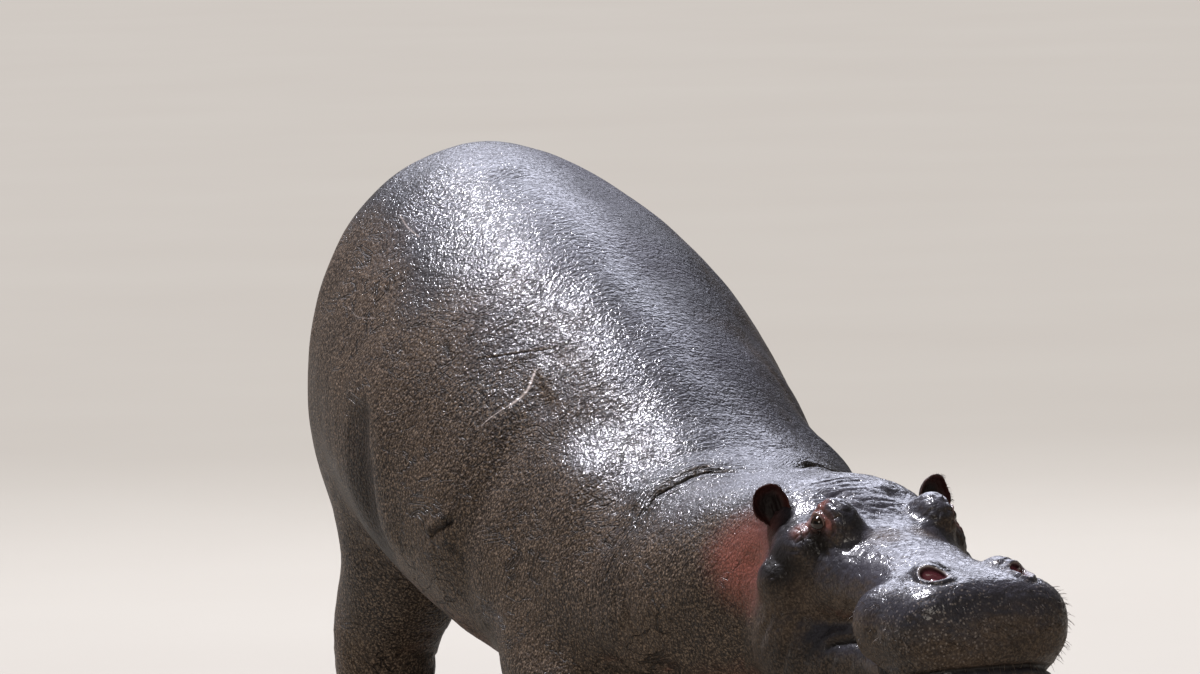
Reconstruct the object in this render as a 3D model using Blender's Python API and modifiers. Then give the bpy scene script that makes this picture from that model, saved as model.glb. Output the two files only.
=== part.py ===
"""A life-size common hippopotamus, rump high and forequarters lowered, as a still museum model.

The flesh is modelled whole: lofts for the trunk, skull and jaw, rounded masses for the muscles and tapered
capsules for the limbs. They are fused by a voxel remesh, softened, thinned to a light mesh and parted with
thin cuts into head, neck, trunk and legs. Ears, eyes, tail and hooves are pieces of their own.

Frame: +X towards the nose, +Y to the animal's left, +Z up, the floor at z = 0, in metres.
"""

import math
from collections import namedtuple

import bmesh
import bpy
import numpy as np
from mathutils import Euler, Matrix, Vector

# Driving dimensions. While it is built, x = 0 is under the highest point of the rump.
LEVEL = 0.58  # height above the soles of the level at which the nostrils ride, just clear of it
NOSE_X = 2.86  # the nose tip
GAP = 0.0004  # clearance between neighbouring solids
SIDES = {"right": -1, "left": 1}

EYE_RADIUS = 0.021
EYE = (0.612, 0.163, 0.156)  # eyeball centre: back from the nose tip, out from the middle, up from LEVEL
NOSTRIL = (0.132, 0.103, 0.062)
NOSTRIL_RADII = (0.017, 0.034, 0.030)  # across the opening, along it and into the nose
EAR = (0.775, 0.208, 0.190)
EAR_RADII = (0.043, 0.052, 0.030)  # across the cup, along it and through it

# Meshing.
VOXEL = 0.016
SMOOTH_PASSES = 26
FLESH_TRIANGLES = 3400

# Sections of the trunk and neck from rump to nape: the points (x, z) on the back and on the belly line, the
# half width, how far up the section it is widest, and the squareness of its upper and lower half.
Section = namedtuple("Section", "top bottom width widest square_top square_bottom")
TRUNK = [
    Section((-0.470, 1.06), (-0.495, 0.93), 0.08, 0.50, 2.0, 2.0),
    Section((-0.410, 1.25), (-0.495, 0.80), 0.20, 0.50, 2.0, 2.0),
    Section((-0.280, 1.415), (-0.440, 0.69), 0.300, 0.50, 2.0, 2.0),
    Section((-0.090, 1.510), (-0.310, 0.60), 0.400, 0.47, 1.95, 2.0),
    Section((0.110, 1.515), (-0.140, 0.54), 0.470, 0.45, 1.90, 2.1),
    Section((0.360, 1.445), (0.050, 0.49), 0.520, 0.42, 1.90, 2.2),
    Section((0.620, 1.345), (0.280, 0.42), 0.545, 0.40, 1.95, 2.3),
    Section((0.860, 1.220), (0.520, 0.34), 0.535, 0.39, 1.85, 2.3),
    Section((1.080, 1.095), (0.760, 0.26), 0.500, 0.39, 1.80, 2.3),
    Section((1.280, 0.970), (0.990, 0.20), 0.460, 0.40, 1.80, 2.2),
    Section((1.450, 0.870), (1.210, 0.175), 0.425, 0.43, 1.90, 2.1),
    Section((1.580, 0.820), (1.420, 0.185), 0.400, 0.46, 2.0, 2.0),
    Section((1.720, 0.820), (1.620, 0.215), 0.370, 0.48, 2.1, 2.0),
    Section((1.880, 0.822), (1.820, 0.250), 0.320, 0.48, 2.1, 2.0),
    Section((2.020, 0.810), (2.000, 0.300), 0.250, 0.48, 2.0, 2.0),
]

# Upright sections of the skull with its upper lips, and of the lower jaw: back from the nose tip, top and
# bottom from LEVEL, half width, how far up it is widest, squareness of the upper and lower half.
SKULL = [
    (0.000, -0.020, -0.105, 0.110, 0.50, 2.4, 2.2),
    (0.025, 0.034, -0.145, 0.172, 0.48, 2.6, 2.4),
    (0.070, 0.060, -0.165, 0.208, 0.46, 2.7, 2.6),
    (0.140, 0.072, -0.172, 0.226, 0.42, 2.5, 2.6),
    (0.210, 0.076, -0.165, 0.220, 0.40, 2.3, 2.6),
    (0.290, 0.088, -0.140, 0.188, 0.42, 2.3, 2.4),
    (0.370, 0.103, -0.115, 0.160, 0.44, 2.4, 2.2),
    (0.450, 0.122, -0.100, 0.160, 0.45, 2.4, 2.2),
    (0.530, 0.145, -0.100, 0.180, 0.45, 2.4, 2.2),
    (0.615, 0.168, -0.120, 0.200, 0.45, 2.2, 2.0),
    (0.700, 0.208, -0.150, 0.222, 0.45, 2.4, 2.0),
    (0.780, 0.236, -0.200, 0.242, 0.48, 2.4, 2.0),
    (0.880, 0.246, -0.250, 0.266, 0.48, 2.3, 2.0),
    (1.000, 0.238, -0.290, 0.290, 0.48, 2.2, 2.0),
]
JAW = [
    (0.030, -0.120, -0.215, 0.100, 0.55, 2.3, 2.2),
    (0.060, -0.110, -0.265, 0.150, 0.55, 2.4, 2.3),
    (0.120, -0.100, -0.292, 0.190, 0.58, 2.4, 2.4),
    (0.200, -0.090, -0.296, 0.192, 0.60, 2.3, 2.4),
    (0.300, -0.080, -0.282, 0.166, 0.60, 2.2, 2.3),
    (0.400, -0.070, -0.276, 0.152, 0.60, 2.2, 2.2),
    (0.500, -0.060, -0.286, 0.172, 0.60, 2.2, 2.2),
    (0.610, -0.040, -0.310, 0.210, 0.55, 2.1, 2.1),
    (0.700, -0.020, -0.325, 0.238, 0.55, 2.0, 2.0),
    (0.800, 0.000, -0.318, 0.245, 0.55, 2.0, 2.0),
    (0.900, 0.000, -0.290, 0.225, 0.55, 2.0, 2.0),
]

# Muscle and bone masses of one side: centre (x, out, z) and radii.
BODY_MASSES = [
    ((-0.020, 0.240, 0.840), (0.290, 0.200, 0.380)),  # thigh
    ((1.180, 0.270, 0.540), (0.300, 0.170, 0.330)),  # shoulder
]
# The same on the head: back from the nose tip, out from the middle, up from LEVEL, and radii.
HEAD_MASSES = [
    ((0.610, 0.118, 0.130), (0.092, 0.058, 0.076)),  # eye mound
    ((0.690, 0.178, 0.085), (0.100, 0.052, 0.070)),  # arch from the eye to the ear
    ((0.715, 0.200, 0.010), (0.075, 0.060, 0.060)),  # lobe at the hinge of the jaw
    ((0.178, 0.088, 0.036), (0.070, 0.056, 0.060)),  # nostril mound
    ((0.235, 0.158, -0.055), (0.115, 0.080, 0.095)),  # canine bulge of the upper lip
    ((0.760, 0.155, -0.100), (0.150, 0.105, 0.175)),  # jaw muscle
]

# Limbs of one side: joint centres (x, out, z) with the flesh's radius, then the foot's centre and radii.
HIND_LIMB = [((-0.03, 0.235, 0.900), 0.235), ((0.050, 0.242, 0.560), 0.180), ((-0.115, 0.258, 0.300), 0.138),
             ((-0.085, 0.262, 0.130), 0.122)]
HIND_FOOT = ((-0.060, 0.265, 0.040), (0.158, 0.140, 0.100))
FORE_LIMB = [((1.200, 0.260, 0.520), 0.180), ((1.100, 0.320, 0.360), 0.155), ((1.310, 0.335, 0.225), 0.130),
             ((1.350, 0.340, 0.120), 0.120)]
FORE_FOOT = ((1.380, 0.345, 0.040), (0.160, 0.145, 0.100))
TOES = 4
TOE_RADII = (0.068, 0.046, 0.056)
TOE_SPREAD = 31  # degrees from toe to toe
HOOF_RADII = (0.024, 0.034, 0.030)
HOOF_AHEAD, HOOF_UP = 0.048, 0.034  # of the hoof's centre, from the toe's centre and from the floor

# Tail: path points (x, z) with half thickness, from inside the rump to the tip.
TAIL = [((-0.370, 1.200), 0.066), ((-0.465, 1.160), 0.056), ((-0.535, 1.060), 0.042), ((-0.560, 0.940), 0.032),
        ((-0.568, 0.820), 0.024), ((-0.572, 0.750), 0.012)]

# Parting outlines in the X-Z plane, each a convex polygon.
NAPE_LINE = ((1.965, 1.2), (1.925, 0.0))  # head ahead of it
CREASE_LINE = ((1.640, 1.2), (1.400, 0.0))  # neck ahead of it
HIND_REGION = [(-0.75, 0.0), (0.36, 0.0), (0.34, 0.38), (0.16, 0.62), (-0.75, 0.80)]
FORE_REGION = [(0.80, 0.0), (1.75, 0.0), (1.75, 0.10), (1.46, 0.34), (1.20, 0.50), (0.88, 0.38)]
HIND_INNER, FORE_INNER = 0.085, 0.150  # how far out of the middle the limb's part begins
FAR = 3.0

MATERIALS = {
    "skin": ((0.115, 0.098, 0.098), 0.38),
    "ear": ((0.150, 0.055, 0.045), 0.50),
    "eye": ((0.030, 0.015, 0.010), 0.08),
    "hoof": ((0.090, 0.075, 0.065), 0.45),
}


def clear_scene():
    for obj in list(bpy.data.objects):
        bpy.data.objects.remove(obj)


def make_collection(name):
    collection = bpy.data.collections.new(name)
    bpy.context.scene.collection.children.link(collection)
    return collection


def make_materials():
    made = {}
    for name, (colour, roughness) in MATERIALS.items():
        material = bpy.data.materials.new(name)
        material.use_nodes = True
        shader = material.node_tree.nodes["Principled BSDF"]
        shader.inputs["Base Color"].default_value = (*colour, 1)
        shader.inputs["Roughness"].default_value = roughness
        shader.inputs["Metallic"].default_value = 0.0
        made[name] = material
    return made


def on_head(back, out, up):
    """A point given from the nose tip and LEVEL."""
    return Vector((NOSE_X - back, out, LEVEL + up))


def catmull_rom(values, per_span):
    """The rows of values with per_span steps between neighbours, on a smooth curve through every row."""
    rows = np.asarray(values, float)
    padded = np.vstack([2 * rows[0] - rows[1], rows, 2 * rows[-1] - rows[-2]])
    out = []
    for a, b, c, d in zip(padded, padded[1:], padded[2:], padded[3:]):
        for t in np.arange(per_span) / per_span:
            out.append(0.5 * (2 * b + (c - a) * t + (2 * a - 5 * b + 4 * c - d) * t**2
                              + (3 * b - a - 3 * c + d) * t**3))
    out.append(rows[-1])
    return np.array(out)


def add_loft(bm, sections, per_span=3, around=40):
    """A closed body whose rings are superellipses, each in the plane of its top and its bottom point."""
    rows = catmull_rom([(*s.top, *s.bottom, *s[2:]) for s in sections], per_span)
    rings = []
    for xt, zt, xb, zb, width, widest, square_top, square_bottom in rows:
        top, bottom = Vector((xt, 0, zt)), Vector((xb, 0, zb))
        middle = bottom.lerp(top, widest)
        ring = []
        for k in range(around):
            c, s = math.cos(math.tau * k / around), math.sin(math.tau * k / around)
            end, power = (top, 2 / square_top) if s > 0 else (bottom, 2 / square_bottom)
            point = middle.lerp(end, abs(s) ** power)
            point.y = math.copysign(abs(c) ** power, c) * width
            ring.append(bm.verts.new(point))
        rings.append(ring)
    for first, second in zip(rings, rings[1:]):
        for k in range(around):
            bm.faces.new((first[k], first[k - 1], second[k - 1], second[k]))
    bm.faces.new(rings[0])
    bm.faces.new(rings[-1][::-1])


def add_head_loft(bm, rows):
    """A loft of upright sections given from the nose tip and LEVEL."""
    add_loft(bm, [
        Section((NOSE_X - back, LEVEL + top), (NOSE_X - back, LEVEL + bottom), *rest)
        for back, top, bottom, *rest in reversed(rows)
    ])


def add_ellipsoid(bm, centre, radii, turn=(0, 0, 0)):
    """A unit ball stretched to the radii, then turned about X, Y and Z by turn, in degrees."""
    rotation = Euler([math.radians(a) for a in turn]).to_matrix().to_4x4()
    single = bmesh.new()
    bmesh.ops.create_uvsphere(single, u_segments=24, v_segments=16, radius=1,
                              matrix=Matrix.Translation(centre) @ rotation @ Matrix.Diagonal((*radii, 1)))
    mesh = bpy.data.meshes.new("ball")
    single.to_mesh(mesh)
    single.free()
    bm.from_mesh(mesh)
    bpy.data.meshes.remove(mesh)


def add_limb(bm, joints, side):
    """Close-set balls on a smooth curve through the joints, which the remesh makes one limb."""
    rows = catmull_rom([(x, side * out, z, radius) for (x, out, z), radius in joints], 6)
    for x, y, z, radius in rows:
        add_ellipsoid(bm, (x, y, z), (radius,) * 3)


def turned_to(facing, along):
    """The turns, in degrees, that bring local Z to face this way, with local Y as near as can be to along."""
    z = Vector(facing).normalized()
    x = Vector(along).cross(z).normalized()
    turn = Matrix((x, z.cross(x), z)).transposed().to_euler()
    return tuple(math.degrees(a) for a in turn)


def toe_places(foot, side):
    """The centres of the toes, fanned round the front of a foot, each with its heading in degrees."""
    (x, out, _), (length, breadth, _) = foot
    places = []
    for k in range(TOES):
        heading = math.radians(TOE_SPREAD * (k - (TOES - 1) / 2))
        centre = (x + 0.66 * length * math.cos(heading), side * out + 1.15 * breadth * math.sin(heading))
        places.append((*centre, math.degrees(heading)))
    return places


def add_flesh(bm):
    add_loft(bm, TRUNK)
    add_head_loft(bm, SKULL)
    add_head_loft(bm, JAW)
    for side in SIDES.values():
        for (x, out, z), radii in BODY_MASSES:
            add_ellipsoid(bm, (x, side * out, z), radii)
        for (back, out, up), radii in HEAD_MASSES:
            add_ellipsoid(bm, on_head(back, side * out, up), radii)
        for limb, foot in ((HIND_LIMB, HIND_FOOT), (FORE_LIMB, FORE_FOOT)):
            add_limb(bm, limb, side)
            (x, out, z), radii = foot
            add_ellipsoid(bm, (x, side * out, z), radii)
            for tx, ty, heading in toe_places(foot, side):
                add_ellipsoid(bm, (tx, ty, 0.034), TOE_RADII, (0, 0, heading))


def object_from(bm, name, collection, helper=False):
    mesh = bpy.data.meshes.new(name)
    bm.to_mesh(mesh)
    bm.free()
    obj = bpy.data.objects.new(name, mesh)
    collection.objects.link(obj)
    if helper:
        obj.hide_render = True
        obj.display_type = "WIRE"
    return obj


def settle(obj):
    """Applies the object's modifiers to its mesh."""
    graph = bpy.context.evaluated_depsgraph_get()
    mesh = bpy.data.meshes.new_from_object(obj.evaluated_get(graph))
    obj.modifiers.clear()
    old, obj.data = obj.data, mesh
    bpy.data.meshes.remove(old)


def settle_whole(obj):
    """Applies the Booleans and keeps the largest connected piece, without slivers."""
    settle(obj)
    bm = bmesh.new()
    bm.from_mesh(obj.data)
    bmesh.ops.dissolve_degenerate(bm, dist=0.00001, edges=bm.edges)
    bmesh.ops.triangulate(bm, faces=bm.faces)
    by_corners = {}
    for face in bm.faces:
        by_corners.setdefault(frozenset(face.verts), []).append(face)
    folded = [face for faces in by_corners.values() if len(faces) > 1 for face in faces]
    bmesh.ops.delete(bm, geom=folded, context="FACES")
    islands, seen = [], set()
    for start in bm.verts:
        if start in seen:
            continue
        seen.add(start)
        island = [start]
        for vert in island:
            near = {edge.other_vert(vert) for edge in vert.link_edges} - seen
            seen |= near
            island.extend(near)
        islands.append(island)
    largest = max(islands, key=len)
    crumbs = [vert for island in islands if island is not largest for vert in island]
    bmesh.ops.delete(bm, geom=crumbs, context="VERTS")
    bm.to_mesh(obj.data)
    bm.free()


def points_of(mesh):
    flat = np.empty(len(mesh.vertices) * 3, np.float32)
    mesh.vertices.foreach_get("co", flat)
    return flat.reshape(-1, 3)


def weigh(obj, name, weights):
    """A vertex group with these weights, in steps of a twentieth."""
    group = obj.vertex_groups.new(name=name)
    steps = np.round(np.asarray(weights) * 20).astype(int)
    for step in np.unique(steps):
        group.add(np.nonzero(steps == step)[0].tolist(), step / 20, "REPLACE")


def fuse(obj):
    """Fuses the overlapping bodies, softens the trunk more than head and feet, and thins the mesh."""
    remesh = obj.modifiers.new("fuse", "REMESH")
    remesh.mode = "VOXEL"
    remesh.voxel_size = VOXEL
    settle(obj)
    points = points_of(obj.data)
    head = np.clip((points[:, 0] - 1.85) / 0.25, 0, 1)
    foot = np.clip((0.30 - points[:, 2]) / 0.15, 0, 1) * (points[:, 0] < 1.7)
    fine = np.maximum(head, foot)
    weigh(obj, "soft", 1 - 0.80 * fine)
    smooth = obj.modifiers.new("soften", "SMOOTH")
    smooth.factor = 0.5
    smooth.iterations = SMOOTH_PASSES
    smooth.vertex_group = "soft"
    settle(obj)
    weigh(obj, "coarse", 0.80 - 0.75 * head - 0.05 * foot)
    thin = obj.modifiers.new("thin", "DECIMATE")
    thin.ratio = FLESH_TRIANGLES / (2 * len(obj.data.polygons))
    thin.vertex_group = "coarse"
    thin.vertex_group_factor = 0.05
    settle(obj)


def grown_outline(outline, by):
    """A convex outline, run anticlockwise, with each side moved outwards."""
    sides = []
    for (ax, az), (bx, bz) in zip(outline, outline[1:] + outline[:1]):
        along = Vector((bx - ax, bz - az)).normalized()
        out = Vector((along.y, -along.x))
        sides.append((Vector((ax, az)) + out * by, along))
    corners = []
    for (p, d), (q, e) in zip(sides[-1:] + sides[:-1], sides):
        t = (q - p).cross(e) / d.cross(e)
        corners.append(tuple(p + d * t))
    return corners


def prism(name, outline, y_low, y_high, collection):
    """A cutter: an X-Z outline run from y_low to y_high."""
    bm = bmesh.new()
    corners = [bm.verts.new((x, y_low, z)) for x, z in outline]
    face = bm.faces.new(corners)
    pushed = bmesh.ops.extrude_face_region(bm, geom=[face])["geom"]
    moved = [v for v in pushed if isinstance(v, bmesh.types.BMVert)]
    bmesh.ops.translate(bm, verts=moved, vec=(0, y_high - y_low, 0))
    bmesh.ops.recalc_face_normals(bm, faces=bm.faces)
    return object_from(bm, name, collection, helper=True)


def slab(name, behind, ahead, collection):
    """A cutter between two lines of the X-Z plane, over the whole width, from the floor up. None is open."""
    (ax, az), (bx, bz) = behind or ((-FAR, FAR), (-FAR, 0))
    (cx, cz), (dx, dz) = ahead or ((2 * FAR, FAR), (2 * FAR, 0))
    return prism(name, [(bx, bz), (dx, dz), (cx, cz), (ax, az)], -FAR, FAR, collection)


def shifted(line, by):
    return tuple((x + by, z) for x, z in line)


def boolean(obj, cutter, operation):
    modifier = obj.modifiers.new(f"{operation} {cutter.name}", "BOOLEAN")
    modifier.operation = operation
    modifier.object = cutter
    modifier.solver = "EXACT"


def part_flesh(flesh, node, collection, cuts, material):
    """A copy of the flesh as one node, kept or cut by each (cutter, operation)."""
    obj = bpy.data.objects.new(node, flesh.data.copy())
    collection.objects.link(obj)
    for cutter, operation in cuts:
        boolean(obj, cutter, operation)
    settle_whole(obj)
    dress(obj, material)


def dress(obj, material):
    obj.data.materials.clear()
    obj.data.materials.append(material)
    obj.data.shade_smooth()


def ball(name, centre, radii, collection, turn=(0, 0, 0), segments=24, helper=False):
    """An egg of these radii at centre, turned about X, Y and Z by turn, in degrees."""
    bm = bmesh.new()
    bmesh.ops.create_uvsphere(bm, u_segments=segments, v_segments=segments // 2, radius=1,
                              matrix=Matrix.Diagonal((*radii, 1)))
    obj = object_from(bm, name, collection, helper)
    obj.location = centre
    obj.rotation_euler = [math.radians(a) for a in turn]
    return obj


def cone(name, start, start_radius, end, end_radius, collection):
    """A helper: a closed cone from start to end."""
    along = end - start
    bm = bmesh.new()
    bmesh.ops.create_cone(bm, cap_ends=True, segments=16, radius1=start_radius, radius2=end_radius,
                          depth=along.length)
    obj = object_from(bm, name, collection, helper=True)
    obj.location = (start + end) / 2
    obj.rotation_euler = along.to_track_quat("Z", "Y").to_euler()
    return obj


def grown(obj, by, collection):
    """A cutter: a copy of the object with its surface moved outwards."""
    copy = bpy.data.objects.new(obj.name + "_grown", obj.data.copy())
    copy.hide_render = True
    copy.display_type = "WIRE"
    collection.objects.link(copy)
    swell = copy.modifiers.new("swell", "DISPLACE")
    swell.strength = by
    swell.mid_level = 0
    return copy


def make_ear(name, side, flesh_cutter, collection, cutters, material):
    """A cup leaning outwards and open forwards: an egg hollowed by a smaller one, rooted in the head."""
    centre = on_head(EAR[0], side * EAR[1], EAR[2])
    turn = turned_to((1, side * 0.30, 0.05), (-0.1, side * 0.5, 1))
    across, along, through = EAR_RADII
    ear = ball(name, centre, EAR_RADII, collection, turn, 14)
    forward = Vector((1, side * 0.30, 0.05)).normalized()
    hollow = ball(name + "_hollow", centre + forward * through * 0.75,
                  (across * 0.80, along * 0.82, through * 1.15), cutters, turn, 14, helper=True)
    root = cone(name + "_root", on_head(EAR[0] + 0.012, side * (EAR[1] - 0.012), EAR[2] - 0.020), 0.024,
                on_head(EAR[0] + 0.012, side * (EAR[1] - 0.075), EAR[2] - 0.110), 0.034, cutters)
    boolean(ear, root, "UNION")
    boolean(ear, hollow, "DIFFERENCE")
    boolean(ear, flesh_cutter, "DIFFERENCE")
    settle_whole(ear)
    dress(ear, material)


def make_tail(flesh_cutter, collection, material):
    """A tapered tube along the tail's path, flattened from side to side."""
    curve = bpy.data.curves.new("tail_path", "CURVE")
    curve.dimensions = "3D"
    curve.bevel_depth = 1.0
    curve.bevel_resolution = 3
    curve.use_fill_caps = True
    rows = catmull_rom([(x, z, radius) for (x, z), radius in TAIL], 3)
    spline = curve.splines.new("POLY")
    spline.points.add(len(rows) - 1)
    for point, (x, z, radius) in zip(spline.points, rows):
        point.co = (x, 0, z, 1)
        point.radius = radius
    source = bpy.data.objects.new("tail_path", curve)
    collection.objects.link(source)
    graph = bpy.context.evaluated_depsgraph_get()
    mesh = bpy.data.meshes.new_from_object(source.evaluated_get(graph))
    bpy.data.objects.remove(source)
    bm = bmesh.new()
    bm.from_mesh(mesh)
    bmesh.ops.remove_doubles(bm, verts=bm.verts, dist=0.0001)
    bmesh.ops.scale(bm, vec=(1, 0.75, 1), verts=bm.verts)
    tail = object_from(bm, "tail", collection)
    boolean(tail, flesh_cutter, "DIFFERENCE")
    settle_whole(tail)
    dress(tail, material)


def centre_on_floor(collection):
    """Hangs every solid on an empty, moved so that the origin lies on the floor under the middle of the whole."""
    bpy.context.view_layer.update()
    solids = list(collection.objects)
    corners = np.array([obj.matrix_world @ Vector(corner) for obj in solids for corner in obj.bound_box])
    middle = (corners.min(axis=0) + corners.max(axis=0)) / 2
    stance = bpy.data.objects.new("stance", None)
    collection.objects.link(stance)
    for obj in solids:
        obj.parent = stance
    stance.location = (-middle[0], -middle[1], 0)


def main():
    clear_scene()
    animal = make_collection("hippopotamus")
    cutters = make_collection("cutters")
    materials = make_materials()

    bm = bmesh.new()
    add_flesh(bm)
    flesh = object_from(bm, "flesh", cutters, helper=True)
    fuse(flesh)
    flesh_cutter = grown(flesh, GAP, cutters)

    cuts = {"head": [(slab("head_region", shifted(NAPE_LINE, GAP), None, cutters), "INTERSECT")]}
    cuts["neck"] = [(slab("neck_region", CREASE_LINE, NAPE_LINE, cutters), "INTERSECT")]
    cuts["trunk"] = [(slab("trunk_region", None, shifted(CREASE_LINE, -GAP), cutters), "INTERSECT")]
    for side_name, side in SIDES.items():
        for leg, outline, inner in (("hind", HIND_REGION, HIND_INNER), ("front", FORE_REGION, FORE_INNER)):
            name = f"leg_{leg}_{side_name}"
            reach = sorted((side * inner, side * FAR))
            wide_reach = sorted((side * (inner - GAP), side * FAR))
            own = prism(name + "_region", outline, *reach, cutters)
            around = prism(name + "_around", grown_outline(outline, GAP), *wide_reach, cutters)
            cuts[name] = [(own, "INTERSECT")]
            cuts["trunk"].append((around, "DIFFERENCE"))
            if leg == "front":
                cuts["neck"].append((around, "DIFFERENCE"))

    for side_name, side in SIDES.items():
        eye = on_head(EYE[0], side * EYE[1], EYE[2])
        dress(ball(f"eye_{side_name}", eye, (EYE_RADIUS,) * 3, animal, segments=16), materials["eye"])
        socket = ball(f"socket_{side_name}", eye, (EYE_RADIUS + 2 * GAP,) * 3, cutters, segments=16, helper=True)
        cuts["head"].append((socket, "DIFFERENCE"))
        nostril = ball(f"nostril_{side_name}", on_head(NOSTRIL[0], side * NOSTRIL[1], NOSTRIL[2]),
                       NOSTRIL_RADII, cutters, turned_to((0.75, side * 0.50, 0.50), (0.4, side * -0.75, -0.5)), 14,
                       helper=True)
        cuts["head"].append((nostril, "DIFFERENCE"))
        for leg, foot in (("hind", HIND_FOOT), ("front", FORE_FOOT)):
            for number, (x, y, heading) in enumerate(toe_places(foot, side), 1):
                name = f"hoof_{leg}_{side_name}_{number}"
                reach = Vector((math.cos(math.radians(heading)), math.sin(math.radians(heading)), 0))
                centre = Vector((x, y, HOOF_UP)) + reach * HOOF_AHEAD
                hoof = ball(name, centre, HOOF_RADII, animal, (0, 0, heading), 10)
                dress(hoof, materials["hoof"])
                bed = ball(name + "_bed", centre, [r + 2 * GAP for r in HOOF_RADII], cutters, (0, 0, heading),
                           10, helper=True)
                cuts[f"leg_{leg}_{side_name}"].append((bed, "DIFFERENCE"))

    for node, node_cuts in cuts.items():
        part_flesh(flesh, node, animal, node_cuts, materials["skin"])
    for side_name, side in SIDES.items():
        make_ear(f"ear_{side_name}", side, flesh_cutter, animal, cutters, materials["ear"])
    make_tail(flesh_cutter, animal, materials["skin"])
    centre_on_floor(animal)


main()
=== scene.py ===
"""The looks of a life-size hippopotamus: one wet, wrinkled hide, with eyes, ears, nails and bristles.

The hide is fused from the same lofts, muscle masses and limbs as the solids it covers, refined where the form is
finest, and then sculpted with folds, lids, nostrils, lips and wrinkles as functions of place. Every measure is in
metres. Shapes are laid out with x = 0 under the highest point of the rump and are moved into the frame at the end.
"""

import logging
import math
from collections.abc import Callable, Iterable, Sequence
from dataclasses import dataclass, field
from enum import Enum
from functools import reduce

import bmesh
import bpy
import numpy as np
from mathutils import Matrix, Vector


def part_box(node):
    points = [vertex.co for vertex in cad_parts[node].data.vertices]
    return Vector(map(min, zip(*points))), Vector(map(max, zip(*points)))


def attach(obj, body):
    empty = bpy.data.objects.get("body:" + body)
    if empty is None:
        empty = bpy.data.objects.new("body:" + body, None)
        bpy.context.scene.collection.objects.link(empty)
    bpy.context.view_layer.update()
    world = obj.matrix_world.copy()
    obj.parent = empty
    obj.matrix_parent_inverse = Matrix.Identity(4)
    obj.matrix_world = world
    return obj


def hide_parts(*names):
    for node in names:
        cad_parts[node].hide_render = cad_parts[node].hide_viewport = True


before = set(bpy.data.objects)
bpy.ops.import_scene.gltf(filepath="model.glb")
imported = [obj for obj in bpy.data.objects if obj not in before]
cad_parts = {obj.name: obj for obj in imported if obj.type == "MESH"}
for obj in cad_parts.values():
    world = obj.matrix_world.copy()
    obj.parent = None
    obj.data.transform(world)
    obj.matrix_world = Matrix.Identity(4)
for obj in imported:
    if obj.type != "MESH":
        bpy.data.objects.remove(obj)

LOG = logging.getLogger("hippopotamus")
Faces = list[np.ndarray]
Surface = tuple[np.ndarray, Faces]

NOSE_X = 2.86  # the nose tip
LEVEL = 0.58  # the level from which heights on the head are given
# What is marked on the hide while it is sculpted, from 0 to 1 for each point. The first mark is painted shade.
MARKS = ("painted_shade", "scar", "lid", "brow", "lid_edge", "inner_nose", "nose_rim", "nose_edge")
PATH_STEPS = 4  # steps between two given points of a line on the hide
BRISTLES = {"lip": 260, "chin": 110, "tail": 170, "ear": 90}  # how many, at each ear and in all elsewhere
FLOOR_TOUCH = 0.0012  # skin lower than this is pressed flat on the floor


class Side(Enum):
    """The animal's two sides, with the sign of y on each."""

    RIGHT = -1
    LEFT = 1

    @property
    def label(self) -> str:
        """The side's name in lower case."""
        return self.name.lower()


def srgb(code: str) -> tuple[float, float, float, float]:
    """Turns an sRGB hex colour to linear RGBA.

    Args:
        code: six hex digits after a hash sign.

    Returns:
        Linear red, green, blue and an alpha of 1.
    """
    parts = [int(code[i : i + 2], 16) / 255 for i in (1, 3, 5)]
    linear = [c / 12.92 if c <= 0.04045 else ((c + 0.055) / 1.055) ** 2.4 for c in parts]
    return (*linear, 1.0)


def on_head(side: Side, place: Sequence[float]) -> np.ndarray:
    """A place on a side of the head, given back from the nose tip, out, and up from LEVEL."""
    back, out, up = place
    return np.array([NOSE_X - back, side.value * out, LEVEL + up])


def on_side(side: Side, direction: Sequence[float]) -> np.ndarray:
    """A direction on a side, given ahead, out and up."""
    return np.array(direction) * (1, side.value, 1)


def head_places(points: np.ndarray) -> tuple[np.ndarray, np.ndarray, np.ndarray]:
    """How far back from the nose tip, out to either side, and up from LEVEL each point is."""
    x, y, z = points.T
    return NOSE_X - x, np.abs(y), z - LEVEL


def away_from(points: np.ndarray, place: Sequence[float]) -> np.ndarray:
    """Each point's distance from a place on the head, given back, out and up, on its own side."""
    back, out, up = head_places(points)
    return np.sqrt((back - place[0]) ** 2 + (out - place[1]) ** 2 + (up - place[2]) ** 2)


def unit(vectors: np.ndarray) -> np.ndarray:
    """Each vector divided by its length."""
    vectors = np.asarray(vectors, float)
    return vectors / np.maximum(np.linalg.norm(vectors, axis=-1, keepdims=True), 1e-12)


def square_to(vector: np.ndarray, axis: np.ndarray) -> np.ndarray:
    """The unit vector nearest to the given one that stands square to the unit axis."""
    return unit(vector - axis * (vector @ axis))


def full_turn(steps: int) -> np.ndarray:
    """The angles of a full turn in equal steps, in radians."""
    return 2 * np.pi * np.arange(steps) / steps


def ramp(values: np.ndarray, low: float, high: float) -> np.ndarray:
    """A smooth step from 0 at low to 1 at high: 3t squared less 2t cubed."""
    t = np.clip((values - low) / (high - low), 0, 1)
    return t * t * (3 - 2 * t)


def bell(values: np.ndarray, width: float) -> np.ndarray:
    """A bell of height 1 at 0, falling to 1/e at width: exp(-(v/width) squared)."""
    return np.exp(-((values / width) ** 2))


def window(values: np.ndarray, low: float, high: float, soft: float) -> np.ndarray:
    """1 between low and high, falling smoothly to 0 within soft outside them."""
    return ramp(values, low - soft, low) * (1 - ramp(values, high, high + soft))


def ridges(values: np.ndarray, spacing: float) -> np.ndarray:
    """Narrow ridges of height 1 at every spacing, flat between them: max(0, cos)^4."""
    return np.maximum(0, np.cos(2 * np.pi * values / spacing)) ** 4


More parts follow.
